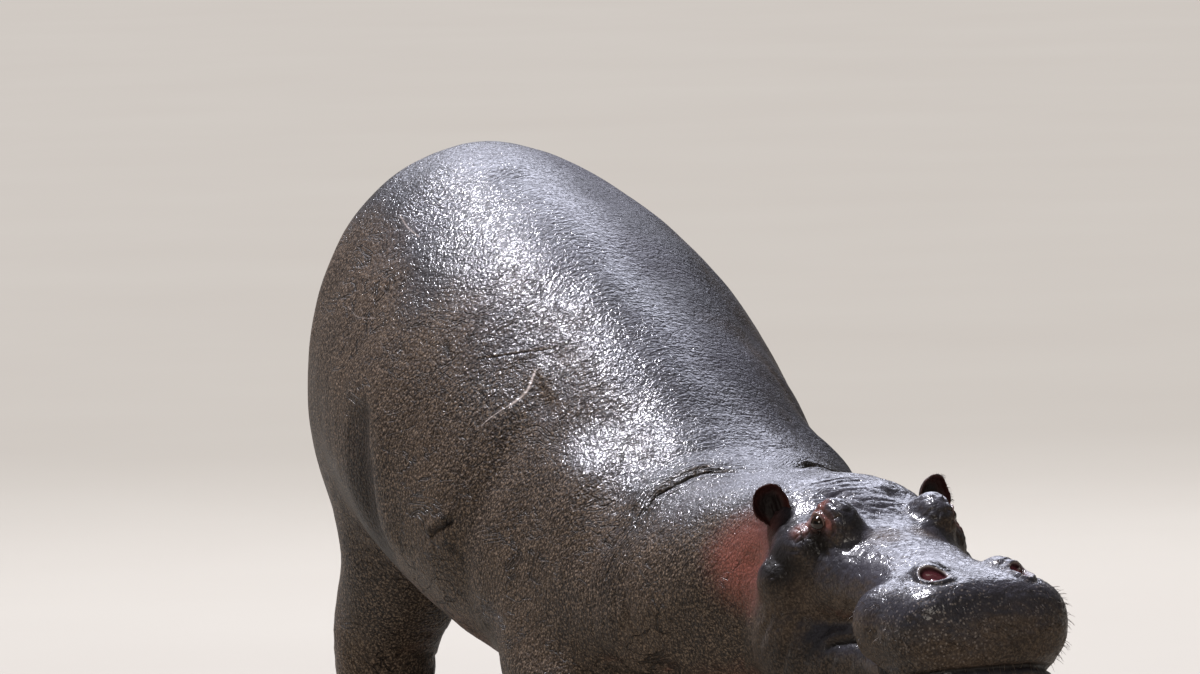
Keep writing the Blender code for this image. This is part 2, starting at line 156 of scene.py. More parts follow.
def catmull_rom(rows: Sequence[Sequence[float]], per_span: int) -> np.ndarray:
    """Rows of numbers on a smooth curve through every given row.

    Between rows b and c, with neighbours a and d, the value at t is half of
    2b + (c - a)t + (2a - 5b + 4c - d)t^2 + (3b - a - 3c + d)t^3.

    Args:
        rows: the rows to pass through.
        per_span: steps between two rows.

    Returns:
        The rows with per_span steps in each span, and the last row.
    """
    rows = np.asarray(rows, float)
    padded = np.vstack([2 * rows[0] - rows[1], rows, 2 * rows[-1] - rows[-2]])
    a, b, c, d = (padded[i : len(padded) - 3 + i, None, :] for i in range(4))
    t = (np.arange(per_span) / per_span)[None, :, None]
    spans = 0.5 * (2 * b + (c - a) * t + (2 * a - 5 * b + 4 * c - d) * t**2 + (3 * b - a - 3 * c + d) * t**3)
    return np.vstack([spans.reshape(-1, rows.shape[1]), rows[-1]])


def lattice_noise(points: np.ndarray, cell: float | Sequence[float], seed: int) -> np.ndarray:
    """Smooth noise of about -1 to 1: each lattice corner has a random slope, blended by quintic weights.

    Args:
        points: places, (n, 3).
        cell: size of a lattice cell, one number or one for each axis.
        seed: picks the pattern.

    Returns:
        One value for each place.
    """
    scaled = points / np.asarray(cell, float)
    base = np.floor(scaled).astype(np.int64)
    inside = scaled - base
    blend = inside**3 * (inside * (inside * 6 - 15) + 10)
    total = np.zeros(len(points))
    for corner in np.array(np.meshgrid([0, 1], [0, 1], [0, 1])).T.reshape(-1, 3):
        at = base + corner
        mixed = (at[:, 0] * 73856093) ^ (at[:, 1] * 19349663) ^ (at[:, 2] * 83492791) ^ (seed * 2654435761)
        mixed = ((mixed ^ (mixed >> 13)) * 1274126177) & 0x3FFFFFFF
        slopes = np.stack([(mixed >> shift) & 1023 for shift in (0, 10, 20)], axis=1) / 511.5 - 1
        weight = np.where(corner == 1, blend, 1 - blend).prod(axis=1)
        total += weight * (slopes * (inside - corner)).sum(axis=1)
    return total * 1.6


def furrows(points: np.ndarray, cell: float | Sequence[float], width: float, seed: int) -> np.ndarray:
    """Winding furrows where smooth noise crosses zero: 1 at the bottom of a furrow, 0 between them."""
    return bell(lattice_noise(points, cell, seed), width)


def closed_grid(rings: np.ndarray) -> Surface:
    """A closed surface from rings of points, with a pole at the middle of the first and last ring.

    Args:
        rings: (rings, around, 3), running so that quads face outwards.

    Returns:
        Points, with faces as quads and two fans of triangles.
    """
    count, around = rings.shape[:2]
    points = np.vstack([rings.reshape(-1, 3), rings[0].mean(axis=0), rings[-1].mean(axis=0)])
    index = np.arange(count * around).reshape(count, around)
    following = np.roll(index, -1, axis=1)
    quads = np.stack([index[:-1], following[:-1], following[1:], index[1:]], axis=-1).reshape(-1, 4)
    first = np.stack([following[0], index[0], np.full(around, count * around)], axis=-1)
    last = np.stack([index[-1], following[-1], np.full(around, count * around + 1)], axis=-1)
    return points, [quads, first, last]


def joined(surfaces: Iterable[Surface]) -> Surface:
    """Several surfaces as one, each still apart from the others."""
    points, faces, first = [], [], 0
    for some_points, some_faces in surfaces:
        points.append(some_points)
        faces += [face + first for face in some_faces]
        first += len(some_points)
    return np.vstack(points), faces


def unit_ball(steps: int, power: float = 1.0) -> Surface:
    """A ball of radius 1 whose sines and cosines are raised to a power, which squares it below 1.

    Args:
        steps: faces around.
        power: of the size of each sine and cosine, keeping its sign.

    Returns:
        The surface.
    """
    v = np.pi * (np.arange(1, steps // 2) / (steps // 2))[:, None]
    u = 2 * np.pi * (np.arange(steps) / steps)[None, :]
    waves = (np.sin(v), np.cos(v), np.sin(u), np.cos(u))
    sv, cv, su, cu = (np.sign(wave) * np.abs(wave) ** power for wave in waves)
    local = np.stack([sv * cu, sv * su, np.broadcast_to(cv, (len(v), steps))], -1)
    points, faces = closed_grid(local[::-1])
    points[-2:] = ((0, 0, -1), (0, 0, 1))
    return points, faces


def ball(centre: Sequence[float], radii: Sequence[float], axes: np.ndarray | None = None) -> Surface:
    """An egg: a unit ball stretched by radii along three axes, which are rows, or X, Y and Z."""
    points, faces = unit_ball(24)
    return (points * np.asarray(radii)) @ (np.eye(3) if axes is None else axes) + np.asarray(centre), faces


def write_mesh(name: str, surface: Surface) -> bpy.types.Mesh:
    """Puts points and faces into a new mesh with foreach_set."""
    points, faces = surface
    corners = np.concatenate([face.ravel() for face in faces]).astype(np.int32)
    sizes = np.concatenate([np.full(len(face), face.shape[1]) for face in faces])
    starts = (np.cumsum(sizes) - sizes).astype(np.int32)
    mesh = bpy.data.meshes.new(name)
    mesh.vertices.add(len(points))
    mesh.vertices.foreach_set("co", points.astype(np.float32).ravel())
    mesh.loops.add(len(corners))
    mesh.loops.foreach_set("vertex_index", corners)
    mesh.polygons.add(len(sizes))
    mesh.polygons.foreach_set("loop_start", starts)
    mesh.update(calc_edges=True)
    mesh.validate()
    return mesh


def new_object(name: str, data: bpy.types.ID) -> bpy.types.Object:
    """An object at the origin that holds a mesh, a lamp or a camera."""
    obj = bpy.data.objects.new(name, data)
    bpy.context.scene.collection.objects.link(obj)
    return obj


def settle(obj: bpy.types.Object) -> None:
    """Applies the object's modifiers to its mesh."""
    graph = bpy.context.evaluated_depsgraph_get()
    mesh = bpy.data.meshes.new_from_object(obj.evaluated_get(graph))
    obj.modifiers.clear()
    old, obj.data = obj.data, mesh
    bpy.data.meshes.remove(old)


def fuse(obj: bpy.types.Object, voxel: float) -> None:
    """Makes the object's overlapping closed surfaces one closed skin of even quads of a size."""
    remesh = obj.modifiers.new("fuse", "REMESH")
    remesh.mode = "VOXEL"
    remesh.voxel_size = voxel
    settle(obj)


def rows_of(items: bpy.types.bpy_prop_collection, name: str, width: int = 3, kind: type = np.float32) -> np.ndarray:
    """One property of every item of a mesh, a row for each."""
    flat = np.empty(len(items) * width, kind)
    items.foreach_get(name, flat)
    return flat.reshape(-1, width)


def points_of(mesh: bpy.types.Mesh) -> np.ndarray:
    """The mesh's points, (n, 3)."""
    return rows_of(mesh.vertices, "co").astype(float)


def normals_of(mesh: bpy.types.Mesh) -> np.ndarray:
    """The mesh's unit normals at its points, (n, 3)."""
    return rows_of(mesh.vertex_normals, "vector").astype(float)


def edges_of(mesh: bpy.types.Mesh) -> np.ndarray:
    """The point numbers of every edge, (n, 2)."""
    return rows_of(mesh.edges, "vertices", 2, np.int32)


def put_points(mesh: bpy.types.Mesh, points: np.ndarray) -> None:
    """Writes the points back into the mesh."""
    mesh.vertices.foreach_set("co", points.astype(np.float32).ravel())
    mesh.update()


def pushed(mesh: bpy.types.Mesh, points: np.ndarray, height: np.ndarray) -> np.ndarray:
    """Moves points along their present normals by a height each, writes them back and returns them."""
    points = points + normals_of(mesh) * height[:, None]
    put_points(mesh, points)
    return points


def on_left(points: np.ndarray) -> np.ndarray:
    """The same places carried to the left side: y without its sign."""
    carried = points.copy()
    carried[:, 1] = np.abs(carried[:, 1])
    return carried


def turned(heading: float) -> np.ndarray:
    """Unit axes ahead, to the left and up for a heading in radians, as rows."""
    c, s = math.cos(heading), math.sin(heading)
    return np.array([[c, s, 0], [-s, c, 0], [0, 0, 1]])


def put_attribute(mesh: bpy.types.Mesh, name: str, values: np.ndarray) -> None:
    """Stores one number for each point under a name that materials can read."""
    attribute = mesh.attributes.new(name, "FLOAT", "POINT")
    attribute.data.foreach_set("value", values.astype(np.float32))


def relaxed(points: np.ndarray, edges: np.ndarray, share: np.ndarray | float, passes: int) -> np.ndarray:
    """Softens a surface: in each pass every point goes half of its share towards the mean of its neighbours.

    Args:
        points: places, (n, 3).
        edges: pairs of neighbours.
        share: 0 to 1 for each point, or one number.
        passes: how often.

    Returns:
        The softened places.
    """
    count = len(points)
    ends, starts = edges.ravel(), edges[:, ::-1].ravel()
    neighbours = np.maximum(np.bincount(ends, minlength=count), 1)
    weight = 0.5 * np.broadcast_to(np.asarray(share, float), count)[:, None]
    for _ in range(passes):
        total = np.stack([np.bincount(ends, points[starts, k], count) for k in range(3)], axis=1)
        points = points + weight * (total / neighbours[:, None] - points)
    return points


def refine(mesh: bpy.types.Mesh, where: Callable[[np.ndarray], np.ndarray]) -> None:
    """Splits in four every face whose middle lies where the function says."""
    wanted = np.nonzero(where(rows_of(mesh.polygons, "center").astype(float)))[0]
    bm = bmesh.new()
    bm.from_mesh(mesh)
    bm.faces.ensure_lookup_table()
    edges = {edge for i in wanted for edge in bm.faces[i].edges}
    bmesh.ops.subdivide_edges(bm, edges=list(edges), cuts=1, use_grid_fill=True)
    bm.to_mesh(mesh)
    bm.free()


def near_path(points: np.ndarray, path: np.ndarray) -> tuple[np.ndarray, np.ndarray]:
    """The nearest place on a line of points.

    For each segment the foot of the perpendicular is clamped to its ends, and the nearest of them all is kept.

    Args:
        points: places, (n, 3).
        path: points of the line, (m, 3).

    Returns:
        The offset from the nearest place, (n, 3), and how far along the line that is, 0 to 1.
    """
    start, step = path[:-1], path[1:] - path[:-1]
    length = np.maximum((step**2).sum(axis=1), 1e-12)
    away = points[:, None, :] - start[None]
    t = np.clip((away * step[None]).sum(axis=2) / length, 0, 1)
    offset = away - t[:, :, None] * step[None]
    nearest = (offset**2).sum(axis=2).argmin(axis=1)
    row = np.arange(len(points))
    return offset[row, nearest], (nearest + t[row, nearest]) / len(step)


# --------------------------------------------------------------------------------------------------------------
# Form


@dataclass(frozen=True)
class BodyForm:
    """The closed surfaces of the flesh: lofts of trunk, skull and jaw, muscle masses, limbs, feet and toes."""

    # Trunk sections: top x, z; bottom x, z; half width; how far up it is widest; squareness above and below.
    trunk: tuple = (
        (-0.470, 1.06, -0.495, 0.93, 0.08, 0.50, 2.0, 2.0),
        (-0.410, 1.25, -0.495, 0.80, 0.20, 0.50, 2.0, 2.0),
        (-0.280, 1.415, -0.440, 0.69, 0.300, 0.50, 2.0, 2.0),
        (-0.090, 1.510, -0.310, 0.60, 0.400, 0.47, 1.95, 2.0),
        (0.110, 1.515, -0.140, 0.54, 0.470, 0.45, 1.90, 2.1),
        (0.360, 1.445, 0.050, 0.49, 0.520, 0.42, 1.90, 2.2),
        (0.620, 1.345, 0.280, 0.42, 0.545, 0.40, 1.95, 2.3),
        (0.860, 1.220, 0.520, 0.34, 0.535, 0.39, 1.85, 2.3),
        (1.080, 1.095, 0.760, 0.26, 0.500, 0.39, 1.80, 2.3),
        (1.280, 0.970, 0.990, 0.20, 0.460, 0.40, 1.80, 2.2),
        (1.450, 0.870, 1.210, 0.175, 0.425, 0.43, 1.90, 2.1),
        (1.580, 0.820, 1.420, 0.185, 0.400, 0.46, 2.0, 2.0),
        (1.720, 0.820, 1.620, 0.215, 0.370, 0.48, 2.1, 2.0),
        (1.880, 0.822, 1.820, 0.250, 0.320, 0.48, 2.1, 2.0),
        (2.020, 0.810, 2.000, 0.300, 0.250, 0.48, 2.0, 2.0),
    )
    # Upright sections: back from the nose tip, top and bottom from LEVEL, half width, widest, squareness.
    skull: tuple = (
        (0.000, -0.020, -0.105, 0.110, 0.50, 2.4, 2.2),
        (0.025, 0.034, -0.145, 0.172, 0.48, 2.6, 2.4),
        (0.070, 0.060, -0.165, 0.208, 0.46, 2.7, 2.6),
        (0.140, 0.072, -0.172, 0.226, 0.42, 2.5, 2.6),
        (0.210, 0.076, -0.165, 0.220, 0.40, 2.3, 2.6),
        (0.290, 0.088, -0.140, 0.188, 0.42, 2.3, 2.4),
        (0.370, 0.103, -0.115, 0.160, 0.44, 2.4, 2.2),
        (0.450, 0.122, -0.100, 0.160, 0.45, 2.4, 2.2),
        (0.530, 0.145, -0.100, 0.180, 0.45, 2.4, 2.2),
        (0.615, 0.168, -0.120, 0.200, 0.45, 2.2, 2.0),
        (0.700, 0.208, -0.150, 0.222, 0.45, 2.4, 2.0),
        (0.780, 0.236, -0.200, 0.242, 0.48, 2.4, 2.0),
        (0.880, 0.246, -0.250, 0.266, 0.48, 2.3, 2.0),
        (1.000, 0.238, -0.290, 0.290, 0.48, 2.2, 2.0),
    )
    jaw: tuple = (
        (0.030, -0.120, -0.215, 0.100, 0.55, 2.3, 2.2),
        (0.060, -0.110, -0.265, 0.150, 0.55, 2.4, 2.3),
        (0.120, -0.100, -0.292, 0.190, 0.58, 2.4, 2.4),
        (0.200, -0.090, -0.296, 0.192, 0.60, 2.3, 2.4),
        (0.300, -0.080, -0.282, 0.166, 0.60, 2.2, 2.3),
        (0.400, -0.070, -0.276, 0.152, 0.60, 2.2, 2.2),
        (0.500, -0.060, -0.286, 0.172, 0.60, 2.2, 2.2),
        (0.610, -0.040, -0.310, 0.210, 0.55, 2.1, 2.1),
        (0.700, -0.020, -0.325, 0.238, 0.55, 2.0, 2.0),
        (0.800, 0.000, -0.318, 0.245, 0.55, 2.0, 2.0),
        (0.900, 0.000, -0.290, 0.225, 0.55, 2.0, 2.0),
    )
    # Masses of one side: centre (x, out, z) and radii.
    body_masses: tuple = (
        ((-0.020, 0.240, 0.840), (0.290, 0.200, 0.380)),  # thigh
        ((1.180, 0.270, 0.540), (0.300, 0.170, 0.330)),  # shoulder
    )
    # The same on the head: back, out, up from LEVEL, and radii.
    head_masses: tuple = (
        ((0.610, 0.118, 0.130), (0.092, 0.058, 0.076)),  # eye mound
        ((0.690, 0.178, 0.085), (0.100, 0.052, 0.070)),  # arch from the eye to the ear
        ((0.715, 0.200, 0.010), (0.075, 0.060, 0.060)),  # lobe at the hinge of the jaw
        ((0.178, 0.088, 0.036), (0.070, 0.056, 0.060)),  # nostril mound
        ((0.235, 0.158, -0.055), (0.115, 0.080, 0.095)),  # canine bulge of the upper lip
        ((0.760, 0.155, -0.100), (0.150, 0.105, 0.175)),  # jaw muscle
    )
    # Limbs of one side: joint centres (x, out, z) and the flesh's radius there.
    hind_limb: tuple = (
        (-0.03, 0.235, 0.900, 0.235),
        (0.050, 0.242, 0.560, 0.180),
        (-0.115, 0.258, 0.300, 0.138),
        (-0.085, 0.262, 0.130, 0.122),
    )
    fore_limb: tuple = (
        (1.200, 0.260, 0.520, 0.180),
        (1.100, 0.320, 0.360, 0.155),
        (1.310, 0.335, 0.225, 0.130),
        (1.350, 0.340, 0.120, 0.120),
    )
    feet: tuple = (
        ((-0.060, 0.265, 0.040), (0.158, 0.140, 0.100)),  # hind
        ((1.380, 0.345, 0.040), (0.160, 0.145, 0.100)),  # fore
    )
    toes: int = 4
    toe_radii: tuple = (0.068, 0.046, 0.056)
    toe_height: float = 0.034
    toe_spread: float = 31.0  # degrees from toe to toe
    # Tail: x, z and half thickness from inside the rump to the tip.
    tail: tuple = (
        (-0.370, 1.200, 0.066),
        (-0.465, 1.160, 0.056),
        (-0.535, 1.060, 0.042),
        (-0.560, 0.940, 0.032),
        (-0.568, 0.820, 0.024),
        (-0.572, 0.750, 0.012),
    )

    def loft(self, rows: Sequence[Sequence[float]], around: int = 48) -> Surface:
        """A closed loft of superellipses.

        At angle a each ring goes from its middle towards its top or bottom point by |sin a| to the power 2/n, and
        sideways by the half width times |cos a| to the power 2/n, where n is the squareness of that half.

        Args:
            rows: sections as the trunk has them.
            around: points in a ring.

        Returns:
            The surface.
        """
        rows = catmull_rom(rows, 3)
        top = np.stack([rows[:, 0], rows[:, 1]], -1)[:, None]
        bottom = np.stack([rows[:, 2], rows[:, 3]], -1)[:, None]
        middle = bottom + (top - bottom) * rows[:, 5, None, None]
        angle = full_turn(around)
        c, s = np.cos(angle)[None], np.sin(angle)[None]
        power = 2 / np.where(s > 0, rows[:, 6:7], rows[:, 7:8])
        end = np.where((s > 0)[:, :, None], top, bottom)
        flat = middle + (end - middle) * (np.abs(s) ** power)[:, :, None]
        y = np.sign(c) * np.abs(c) ** power * rows[:, 4:5]
        return closed_grid(np.stack([flat[:, :, 0], y, flat[:, :, 1]], -1)[:, ::-1])

    def head_loft(self, rows: Sequence[Sequence[float]]) -> Surface:
        """A loft of upright sections given from the nose tip and LEVEL."""
        return self.loft([(NOSE_X - b, LEVEL + t, NOSE_X - b, LEVEL + u, *rest) for b, t, u, *rest in rows[::-1]])

    def limb(self, joints: Sequence[Sequence[float]], side: Side) -> list[Surface]:
        """Close-set balls along a smooth curve through the joints."""
        return [ball(on_side(side, place), (r, r, r)) for *place, r in catmull_rom(joints, 6)]

    def toe_places(self, foot: tuple, side: Side) -> list[tuple[float, float, float]]:
        """The toes' centres in plan, fanned round the front of a foot, each with its heading in radians."""
        (x, out, _), (length, breadth, _) = foot
        turns = [math.radians(self.toe_spread * (k - (self.toes - 1) / 2)) for k in range(self.toes)]
        return [
            (x + 0.66 * length * math.cos(a), side.value * out + 1.15 * breadth * math.sin(a), a) for a in turns
        ]

    def foot(self, foot: tuple, side: Side) -> list[Surface]:
        """The sole's mass with its four toes, each an egg turned to its heading."""
        place, radii = foot
        made = [ball(on_side(side, place), radii)]
        for tx, ty, a in self.toe_places(foot, side):
            made.append(ball((tx, ty, self.toe_height), self.toe_radii, turned(a)))
        return made

    def flesh(self) -> Surface:
        """Everything but the tail, overlapping."""
        parts = [self.loft(self.trunk), self.head_loft(self.skull), self.head_loft(self.jaw)]
        for side in Side:
            parts += [ball(on_side(side, place), radii) for place, radii in self.body_masses]
            parts += [ball(on_head(side, place), radii) for place, radii in self.head_masses]
            for limb, foot in zip((self.hind_limb, self.fore_limb), self.feet):
                parts += self.limb(limb, side) + self.foot(foot, side)
        return joined(parts)

    def tail_tube(self) -> Surface:
        """A tapered tube along the tail, a quarter flatter from side to side, with rounded ends."""
        rows = catmull_rom(self.tail, 10)
        centre = np.stack([rows[:, 0], np.zeros(len(rows)), rows[:, 1]], -1)
        along = unit(np.gradient(centre, axis=0))
        across = unit(np.cross(along, (0, 1, 0)))
        angle = full_turn(28)[None, :, None]
        radius = rows[:, 2:3, None]
        rings = centre[:, None] + radius * (
            np.cos(angle) * across[:, None] + 0.75 * np.sin(angle) * np.array([0, 1, 0])
        )
        return closed_grid(rings)


# --------------------------------------------------------------------------------------------------------------
# Finishes

Socket = bpy.types.NodeSocket


def fill(tree: bpy.types.NodeTree, node: bpy.types.Node, values: dict) -> None:
    """Links each input, by its name or number, to its socket, or sets its plain value."""
    for key, value in values.items():
        if isinstance(value, Socket):
            tree.links.new(value, node.inputs[key])
        else:
            node.inputs[key].default_value = value


def add(tree: bpy.types.NodeTree, kind: str, links: dict | None = None, **settings: object) -> bpy.types.Node:
    """Adds a shader node with its settings, values and links.

    Args:
        tree: the material's node tree.
        kind: the node's type without its ShaderNode prefix.
        links: for an input's name or number, the socket to link to it or its plain value.
        settings: the node's own properties.

    Returns:
        The node.
    """
    node = tree.nodes.new("ShaderNode" + kind)
    for name, value in settings.items():
        setattr(node, name, value)
    fill(tree, node, links or {})
    return node


class Finish:
    """A new material, with a short call for each kind of node that repeats."""

    def __init__(self, name: str) -> None:
        """Starts the material and its Object coordinates."""
        self.material = bpy.data.materials.new(name)
        self.material.use_nodes = True
        self.tree = self.material.node_tree
        self.here = add(self.tree, "TexCoord").outputs["Object"]

    def mask(self, name: str) -> Socket:
        """The number that the mesh keeps for each point under a name."""
        return add(self.tree, "Attribute", attribute_name=name).outputs["Fac"]

    def stretched(self, scale: tuple[float, float, float]) -> Socket:
        """Object coordinates, each times its own number."""
        return add(self.tree, "Mapping", {"Vector": self.here, "Scale": scale}).outputs["Vector"]

    def noise(self, width: float, detail: float = 2.0, at: Socket | None = None, **more: float) -> Socket:
        """Smooth noise with waves of a width, in metres, at Object coordinates unless others are given."""
        place = self.here if at is None else at
        links = {"Vector": place, "Scale": 1 / width, "Detail": detail, **more}
        return add(self.tree, "TexNoise", links).outputs["Fac"]

    def cells(self, width: float, at: Socket, feature: str = "F1") -> Socket:
        """Distance to the middle of a cell of a width, or to its edge."""
        links = {"Vector": at, "Scale": 1 / width}
        return add(self.tree, "TexVoronoi", links, feature=feature).outputs["Distance"]

    def math(self, operation: str, *terms: Socket | float, clamp: bool = False) -> Socket:
        """One Math node on one or two terms."""
        return add(self.tree, "Math", dict(enumerate(terms)), operation=operation, use_clamp=clamp).outputs[0]

    def product(self, *terms: Socket | float) -> Socket:
        """The terms multiplied from left to right."""
        return reduce(lambda a, b: self.math("MULTIPLY", a, b), terms)

    def total(self, *terms: Socket | float) -> Socket:
        """The terms added from left to right."""
        return reduce(lambda a, b: self.math("ADD", a, b), terms)

    def span(
        self, value: Socket, start: float = 0.0, end: float = 1.0, low: float = 0.0, high: float = 1.0,
        smooth: bool = False,
    ) -> Socket:
        """The value clamped between start and end, and carried to low and high in a line or a smooth step."""
        limits = {"Value": value, "From Min": start, "From Max": end, "To Min": low, "To Max": high}
        kind = "SMOOTHSTEP" if smooth else "LINEAR"
        return add(self.tree, "MapRange", limits, interpolation_type=kind).outputs["Result"]

    def mix(self, share: Socket, under: Socket | str, over: Socket | str) -> Socket:
        """Two colours, each a socket or a hex code: share 0 gives the first and 1 the second."""
        first, second = (srgb(side) if isinstance(side, str) else side for side in (under, over))
        return add(self.tree, "Mix", {0: share, 6: first, 7: second}, data_type="RGBA").outputs[2]

    def bump(self, height: Socket, strength: float, distance: float) -> Socket:
        """The normal of a surface raised by the height times the distance."""
        links = {"Height": height, "Strength": strength, "Distance": distance}
        return add(self.tree, "Bump", links).outputs["Normal"]

    def done(self, values: dict[str, Socket | float]) -> bpy.types.Material:
        """Gives the shader its inputs and returns the material."""
        fill(self.tree, self.tree.nodes["Principled BSDF"], values)
        return self.material


@dataclass(frozen=True)
class WetHide:
    """Bare hippopotamus hide, wet: a dark, finely cracked skin under a film of water that gives a broken gloss.

    Painted shade darkens the folds, a painted sky reflection makes the back slate, the flanks are earthier, and
    thin skin is flushed pink.
    """

    flank: str = "#473A2F"
    flank_dark: str = "#1E1713"
    grain: str = "#8A7867"
    # The slate tones are a painted reflection of the sky on the hide that faces up.
    wet_top_sky_tint: str = "#3E3D46"
    slate_dark: str = "#25252B"
    # Near-black painted shade for folds, cracks, pebble seams, pleats and hollows.
    flushed: str = "#865045"
    painted_shade: str = "#100C0B"
    mucosa: str = "#86505C"
    pale: str = "#A79C95"
    scar: str = "#C2B6B0"
    # Widths, in metres.
    grit: float = 0.006
    bead: float = 0.008  # of water
    pebble: float = 0.0090
    dot: float = 0.010  # pale dots of the lips
    pleat: float = 0.010  # from pleat to pleat beside the fold of the neck
    ripple: float = 0.014  # of the loose outer skin
    bend: float = 0.02  # waves that bend the pebbles' outlines
    bend_by: float = 0.006  # and how far at the most
    wrinkle: float = 0.050
    crack: float = 0.14  # from one long crack to the next
    patch: float = 0.30  # of one tone
    # Depths, in metres.
    pleat_depth: float = 0.0026
    crack_depth: float = 0.0045
    ripple_height: float = 0.0030

    def build(self) -> bpy.types.Material:
        """Builds the material.

        Returns:
            The material, which reads Object coordinates and the hide's own attributes.
        """
        skin = Finish("wet_hippopotamus_hide")
        patches = skin.noise(self.patch, 5, Roughness=0.6)
        grains = skin.noise(self.grit, 3, Roughness=0.6)
        bends = add(skin.tree, "TexNoise", {"Vector": skin.here, "Scale": 1 / self.bend, "Detail": 2}).outputs
        shift = {0: bends["Color"], "Scale": self.bend_by}
        warp = add(skin.tree, "VectorMath", shift, operation="SCALE").outputs[0]
        bent = add(skin.tree, "VectorMath", {0: skin.here, 1: warp}, operation="ADD").outputs[0]
        pebbles = skin.cells(self.pebble, bent, "DISTANCE_TO_EDGE")
        coarse = skin.span(skin.mask("smooth"), low=1.0, high=0.30)
        # Where the hide faces up: fewer cracks and softer relief, and slate as a painted sky reflection.
        wet_top_sky_tint = skin.mask("wet_top_sky_tint")

        # Long cracks, on dry coarse skin and in some patches only.
        wild = skin.noise(self.crack, 4, skin.stretched((0.8, 1.0, 1.25)), Roughness=0.6, Distortion=0.9)
        cracks = skin.product(
            skin.span(self._off_middle(skin, wild), end=0.020, low=1.0, high=0.0, smooth=True),
            skin.span(patches, 0.44, 0.56),
            coarse,
            skin.span(wet_top_sky_tint, low=1.0, high=0.15),
        )
        pleats = self._pleats(skin, bends["Fac"])

        # Height, in metres.
        plates = skin.cells(2.6 * self.pebble, bent, "DISTANCE_TO_EDGE")
        ripples = skin.noise(self.ripple, 1.5, skin.stretched((1.5, 0.7, 1.2)), Roughness=0.5, Distortion=0.4)
        wrinkles = skin.noise(self.wrinkle, 3, skin.stretched((1.0, 1.0, 0.55)), Roughness=0.55, Distortion=0.6)
        loose = skin.total(
            skin.span(plates, end=0.14, low=-0.0003, high=0.0, smooth=True),
            skin.product(ripples, self.ripple_height),
        )
        loose = skin.product(loose, coarse, skin.span(wet_top_sky_tint, low=1.8, high=1.0))
        wrinkled = skin.span(self._off_middle(skin, wrinkles), end=0.050, low=-0.0006, high=0.0, smooth=True)
        fine = skin.total(
            skin.span(pebbles, end=0.40, low=-0.0005, high=0.0, smooth=True), skin.product(grains, 0.0005)
        )
        fine = skin.total(skin.product(fine, coarse), pleats)
        height = skin.total(loose, wrinkled, skin.product(cracks, -self.crack_depth), fine)
        bump = skin.bump(height, 1, 1)

        # Colour: the ground tone, with slate on top as a painted sky reflection, and each layer over it by its
        # share.
        tone = skin.span(patches, 0.36, 0.64)
        colour = skin.mix(
            wet_top_sky_tint, skin.mix(tone, self.flank_dark, self.flank), skin.mix(tone, self.slate_dark, self.wet_top_sky_tint)
        )
        flush = skin.math("MULTIPLY", skin.span(patches, 0.30, 0.55, low=0.60), skin.mask("flush"), clamp=True)
        dust = skin.span(grains, 0.46, 0.60, high=0.66)
        seam_shade = skin.span(pebbles, end=0.20, low=0.72, high=0.0, smooth=True)
        dots = skin.span(skin.cells(self.dot, bent), 0.14, 0.34, low=0.75, high=0.0)
        # Painted shade fills the seams between pebbles, the cracks, the bottoms of the pleats and every marked
        # fold.
        for share, layer in (
            (skin.product(dust, skin.math("SUBTRACT", 1.0, wet_top_sky_tint), coarse), self.grain),
            (flush, self.flushed),
            (skin.product(seam_shade, coarse), self.painted_shade),
            (skin.product(cracks, 0.8), self.painted_shade),
            (skin.product(dots, skin.mask("speckle")), self.pale),
            (skin.span(pleats, -self.pleat_depth, -0.0006, low=0.65, high=0.0), self.painted_shade),
            (skin.mask("mucosa"), self.mucosa),
            (skin.mask("painted_shade"), self.painted_shade),
            (skin.mask("scar"), self.scar),
        ):
            colour = skin.mix(share, colour, layer)

        # The back drips wet, and the flank is half dry. The film of water is broken into beads.
        wet = skin.mask("wet")
        rough = skin.total(
            skin.span(wet, low=0.58, high=0.40), skin.span(grains, 0.3, 0.7, low=-0.08, high=0.10)
        )
        broken = skin.span(skin.noise(self.bead, 1), 0.40, 0.56, low=0.25)
        film = skin.product(skin.span(wet, low=0.14, high=0.80), broken)
        return skin.done({
            "Base Color": colour, "Roughness": rough, "Normal": bump, "Coat Normal": bump, "Coat Weight": film,
            "IOR": 1.42, "Specular IOR Level": 0.20, "Coat Roughness": 0.10,
            "Coat IOR": 1.45,  # water thickened by the skin's own slime
        })

    @staticmethod
    def _off_middle(skin: Finish, noise: Socket) -> Socket:
        """How far the noise is from its middle value: 0 along winding lines."""
        return skin.math("ABSOLUTE", skin.math("SUBTRACT", noise, 0.5))

    def _pleats(self, skin: Finish, bends: Socket) -> Socket:
        """The depth of the fine pleats beside the fold of the neck: a cosine of the distance from the fold."""
        place = skin.total(skin.mask("pleat_place"), skin.span(bends, low=-0.006, high=0.006))
        wave = skin.math("COSINE", skin.product(place, 2 * math.pi / self.pleat))
        return skin.product(skin.span(wave, 0.2, 1.0, high=-self.pleat_depth), skin.mask("pleated"))


